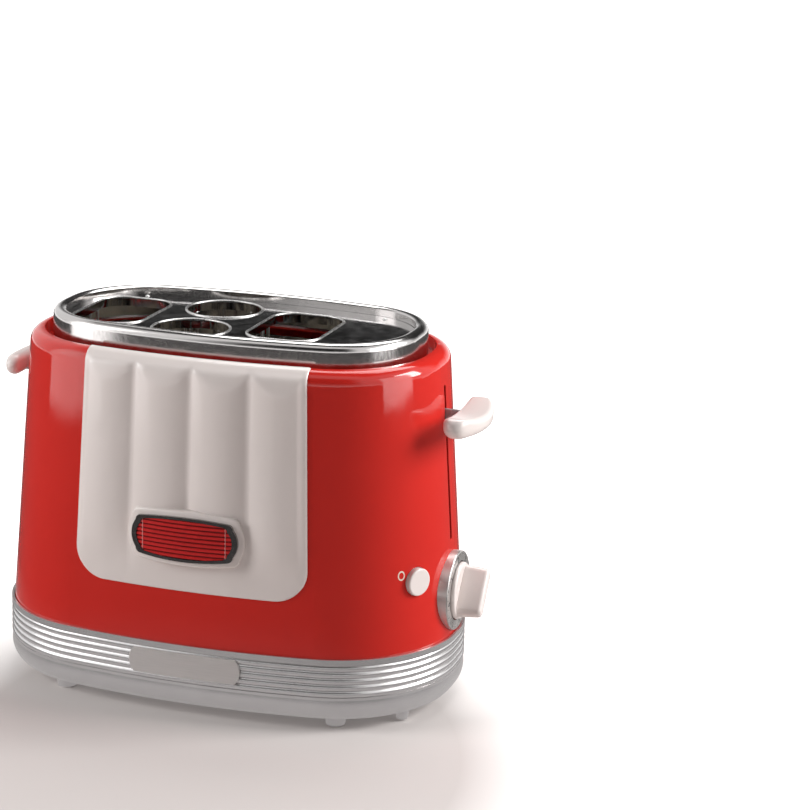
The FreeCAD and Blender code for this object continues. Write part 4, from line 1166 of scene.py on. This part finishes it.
def level_square(half, height):
    """The corners of a level square round the middle."""
    return [(-half, -half, height), (half, -half, height), (half, half, height), (-half, half, height)]


# painted shadow: the floor inside this ellipse, drawn out towards the camera, gets no glow and stays darker
shadow_middle, shadow_reach = (0.03, -0.11), (0.175, 0.24)
pale_floor = floor_material(shadow_middle, shadow_reach, math.radians(21), 0.25)
flat_sheet("floor", level_square(15.0, 0), pale_floor)

# %% [markdown]
# Lamps: a strong one on the right, which makes the end with the dial bright and leaves the near right
# of the shell darker, a large one on the left for the flutes, and one above and behind, which throws
# the soft shadow forwards. A lamp's size is what makes its reflection in the enamel large or small.

# %% Lamps


def around(azimuth, height, distance):
    """A point at an azimuth from the fluted side, positive towards the dial, in degrees."""
    turn = math.radians(azimuth)
    return Vector((distance * math.sin(turn), -distance * math.cos(turn), height))


def soft_lamp(name, size, place, aim, watts):
    data = bpy.data.lights.new(name, "AREA")
    data.shape = "RECTANGLE"
    data.size, data.size_y = size
    data.energy = watts
    lamp = linked(name, data)
    lamp.location = place
    lamp.rotation_euler = (Vector(aim) - Vector(place)).to_track_quat("-Z", "Y").to_euler()


lamp_aim = (0, 0, 0.11)
soft_lamp("left_lamp", (0.55, 0.8), around(-60, 0.75, 1.4), lamp_aim, 15.5)
soft_lamp("right_lamp", (0.6, 0.7), around(106, 0.75, 1.3), lamp_aim, 23)
soft_lamp("top_lamp", (1.1, 0.8), (0.0, 0.7, 1.4), lamp_aim, 13)

# %% [markdown]
# Cards: chrome and gloss enamel only look like themselves when they mirror something dark with a few
# bright shapes in it. The cards are painted reflections: the dark ones paint dark reflections, two glow
# though they are no lamps and paint bright highlights, and one on the floor paints the floor's reflection.
# They stand round the set, lie on the floor and hang above, and only mirrors see them, so they cast no
# shadow, light nothing and never show.

# %% What the cards are made of


def dull_card(name, grey, glow_colour):
    """A card without gloss, and the colour in which it glows."""
    material, tree, shader = mottled(name, (grey, grey, grey), 0.9, 3, 0.8)
    shader.inputs["Specular IOR Level"].default_value = 0
    shader.inputs["Emission Color"].default_value = (*glow_colour, 1)
    return material, tree, shader


def card_material(name, grey, glow, soft_share):
    """Solid in the middle of the card and clear at its rim, so its reflection has soft edges."""
    material, tree, shader = dull_card(name, grey, (1, 1, 1))
    shader.inputs["Emission Strength"].default_value = glow
    across = add(tree, "ShaderNodeSeparateXYZ", {"Vector": add(tree, "ShaderNodeUVMap")["UV"]})
    levels = []
    for axis in ("X", "Y"):
        inward = calculate(tree, "PINGPONG", across[axis], 0.5)
        levels.append(spread(tree, inward, 0, 1, 0, soft_share))
    tree.links.new(calculate(tree, "MULTIPLY", *levels), shader.inputs["Alpha"])
    return material


def floor_card_material(near_level, far_level, near, far):
    """A painted reflection of the floor: glows by near_level under the toaster and by far_level from far
    on, measured from the middle.
    """
    material, tree, shader = dull_card("dim_floor_card", 0.02, (1, 0.96, 0.95))
    level = spread(tree, length_of(tree, own_place(tree)), near_level, far_level, near, far)
    tree.links.new(level, shader.inputs["Emission Strength"])
    return material


# %% Dark and bright cards


def mirror_card(name, corners, material):
    """A card that only mirror rays see."""
    card = flat_sheet(name, corners, material)
    across = card.data.uv_layers.new(name="across")
    for loop, spot in zip(across.data, ((0, 0), (1, 0), (1, 1), (0, 1))):
        loop.uv = spot
    for kind in ("camera", "diffuse", "transmission", "shadow"):
        setattr(card, "visible_" + kind, False)


def upright_card(name, azimuth, distance, width, foot, top, material):
    middle = around(azimuth, 0, distance)
    aside = Vector((middle.y, -middle.x, 0)).normalized() * width / 2
    low, high = middle + Vector((0, 0, foot)), middle + Vector((0, 0, top))
    mirror_card(name, [low - aside, low + aside, high + aside, high - aside], material)


# painted dark reflections: these cards darken only what mirrors see
painted_dark_reflection = card_material("dark_card", 0.03, 0.0, 0.2)
upright_card("front_card", 12, 1.9, 3.0, 0.10, 2.8, painted_dark_reflection)
upright_card("rear_card", 178, 1.9, 3.4, 0.30, 2.2, painted_dark_reflection)
overhead = [(-1.5, -0.6, 2.0), (1.5, -0.6, 2.0), (1.5, 1.3, 2.0), (-1.5, 1.3, 2.0)]
mirror_card("overhead_card", overhead, painted_dark_reflection)
# painted reflection: a glowing floor that only mirrors see, brighter under the toaster and dimmer farther
# out
mirror_card("floor_card", level_square(1.7, 0.5 * mm), floor_card_material(0.50, 0.08, 0.13, 0.30))
# painted highlights: two glowing cards, which are no lamps, put bright patches into the reflections at the
# left and right
left_painted_highlight = card_material("left_glow", 0.8, 1.5, 0.03)
right_painted_highlight = card_material("right_glow", 0.8, 3.0, 0.03)
upright_card("left_glow", -58, 0.45, 0.30, 0.085, 0.60, left_painted_highlight)
upright_card("right_glow", 84, 0.55, 0.31, 0.105, 0.50, right_painted_highlight)

# %% Surround


def white_surround(diffuse_level):
    """White for what the camera, mirrors and glass see, and a softer grey as the fill light."""
    world = bpy.data.worlds.new("white_surround")
    world.use_nodes = True
    tree = world.node_tree
    background = tree.nodes["Background"]
    background.inputs["Color"].default_value = (1, 1, 1, 1)
    level = spread(tree, sees_the_set(tree), diffuse_level, 1.0, 0, 1)
    tree.links.new(level, background.inputs["Strength"])
    bpy.context.scene.world = world


white_surround(0.15)

# %% Camera
camera_place = Vector((0.50255, -1.29628, 0.53096))
camera_aim = Vector((0.09718, 0.0, 0.16804))
camera_roll = math.radians(1.5516)
lens_mm = 114.157

camera = linked("camera", bpy.data.cameras.new("camera"))
turn = (camera_aim - camera_place).to_track_quat("-Z", "Y").to_matrix()
turn = turn @ Matrix.Rotation(camera_roll, 3, "Z")
camera.matrix_world = Matrix.Translation(camera_place) @ turn.to_4x4()
camera.data.lens = lens_mm
camera.data.clip_end = 50
bpy.context.scene.camera = camera
bpy.context.scene.view_settings.view_transform = "Standard"
print("camera at", [round(c, 4) for c in camera.location])
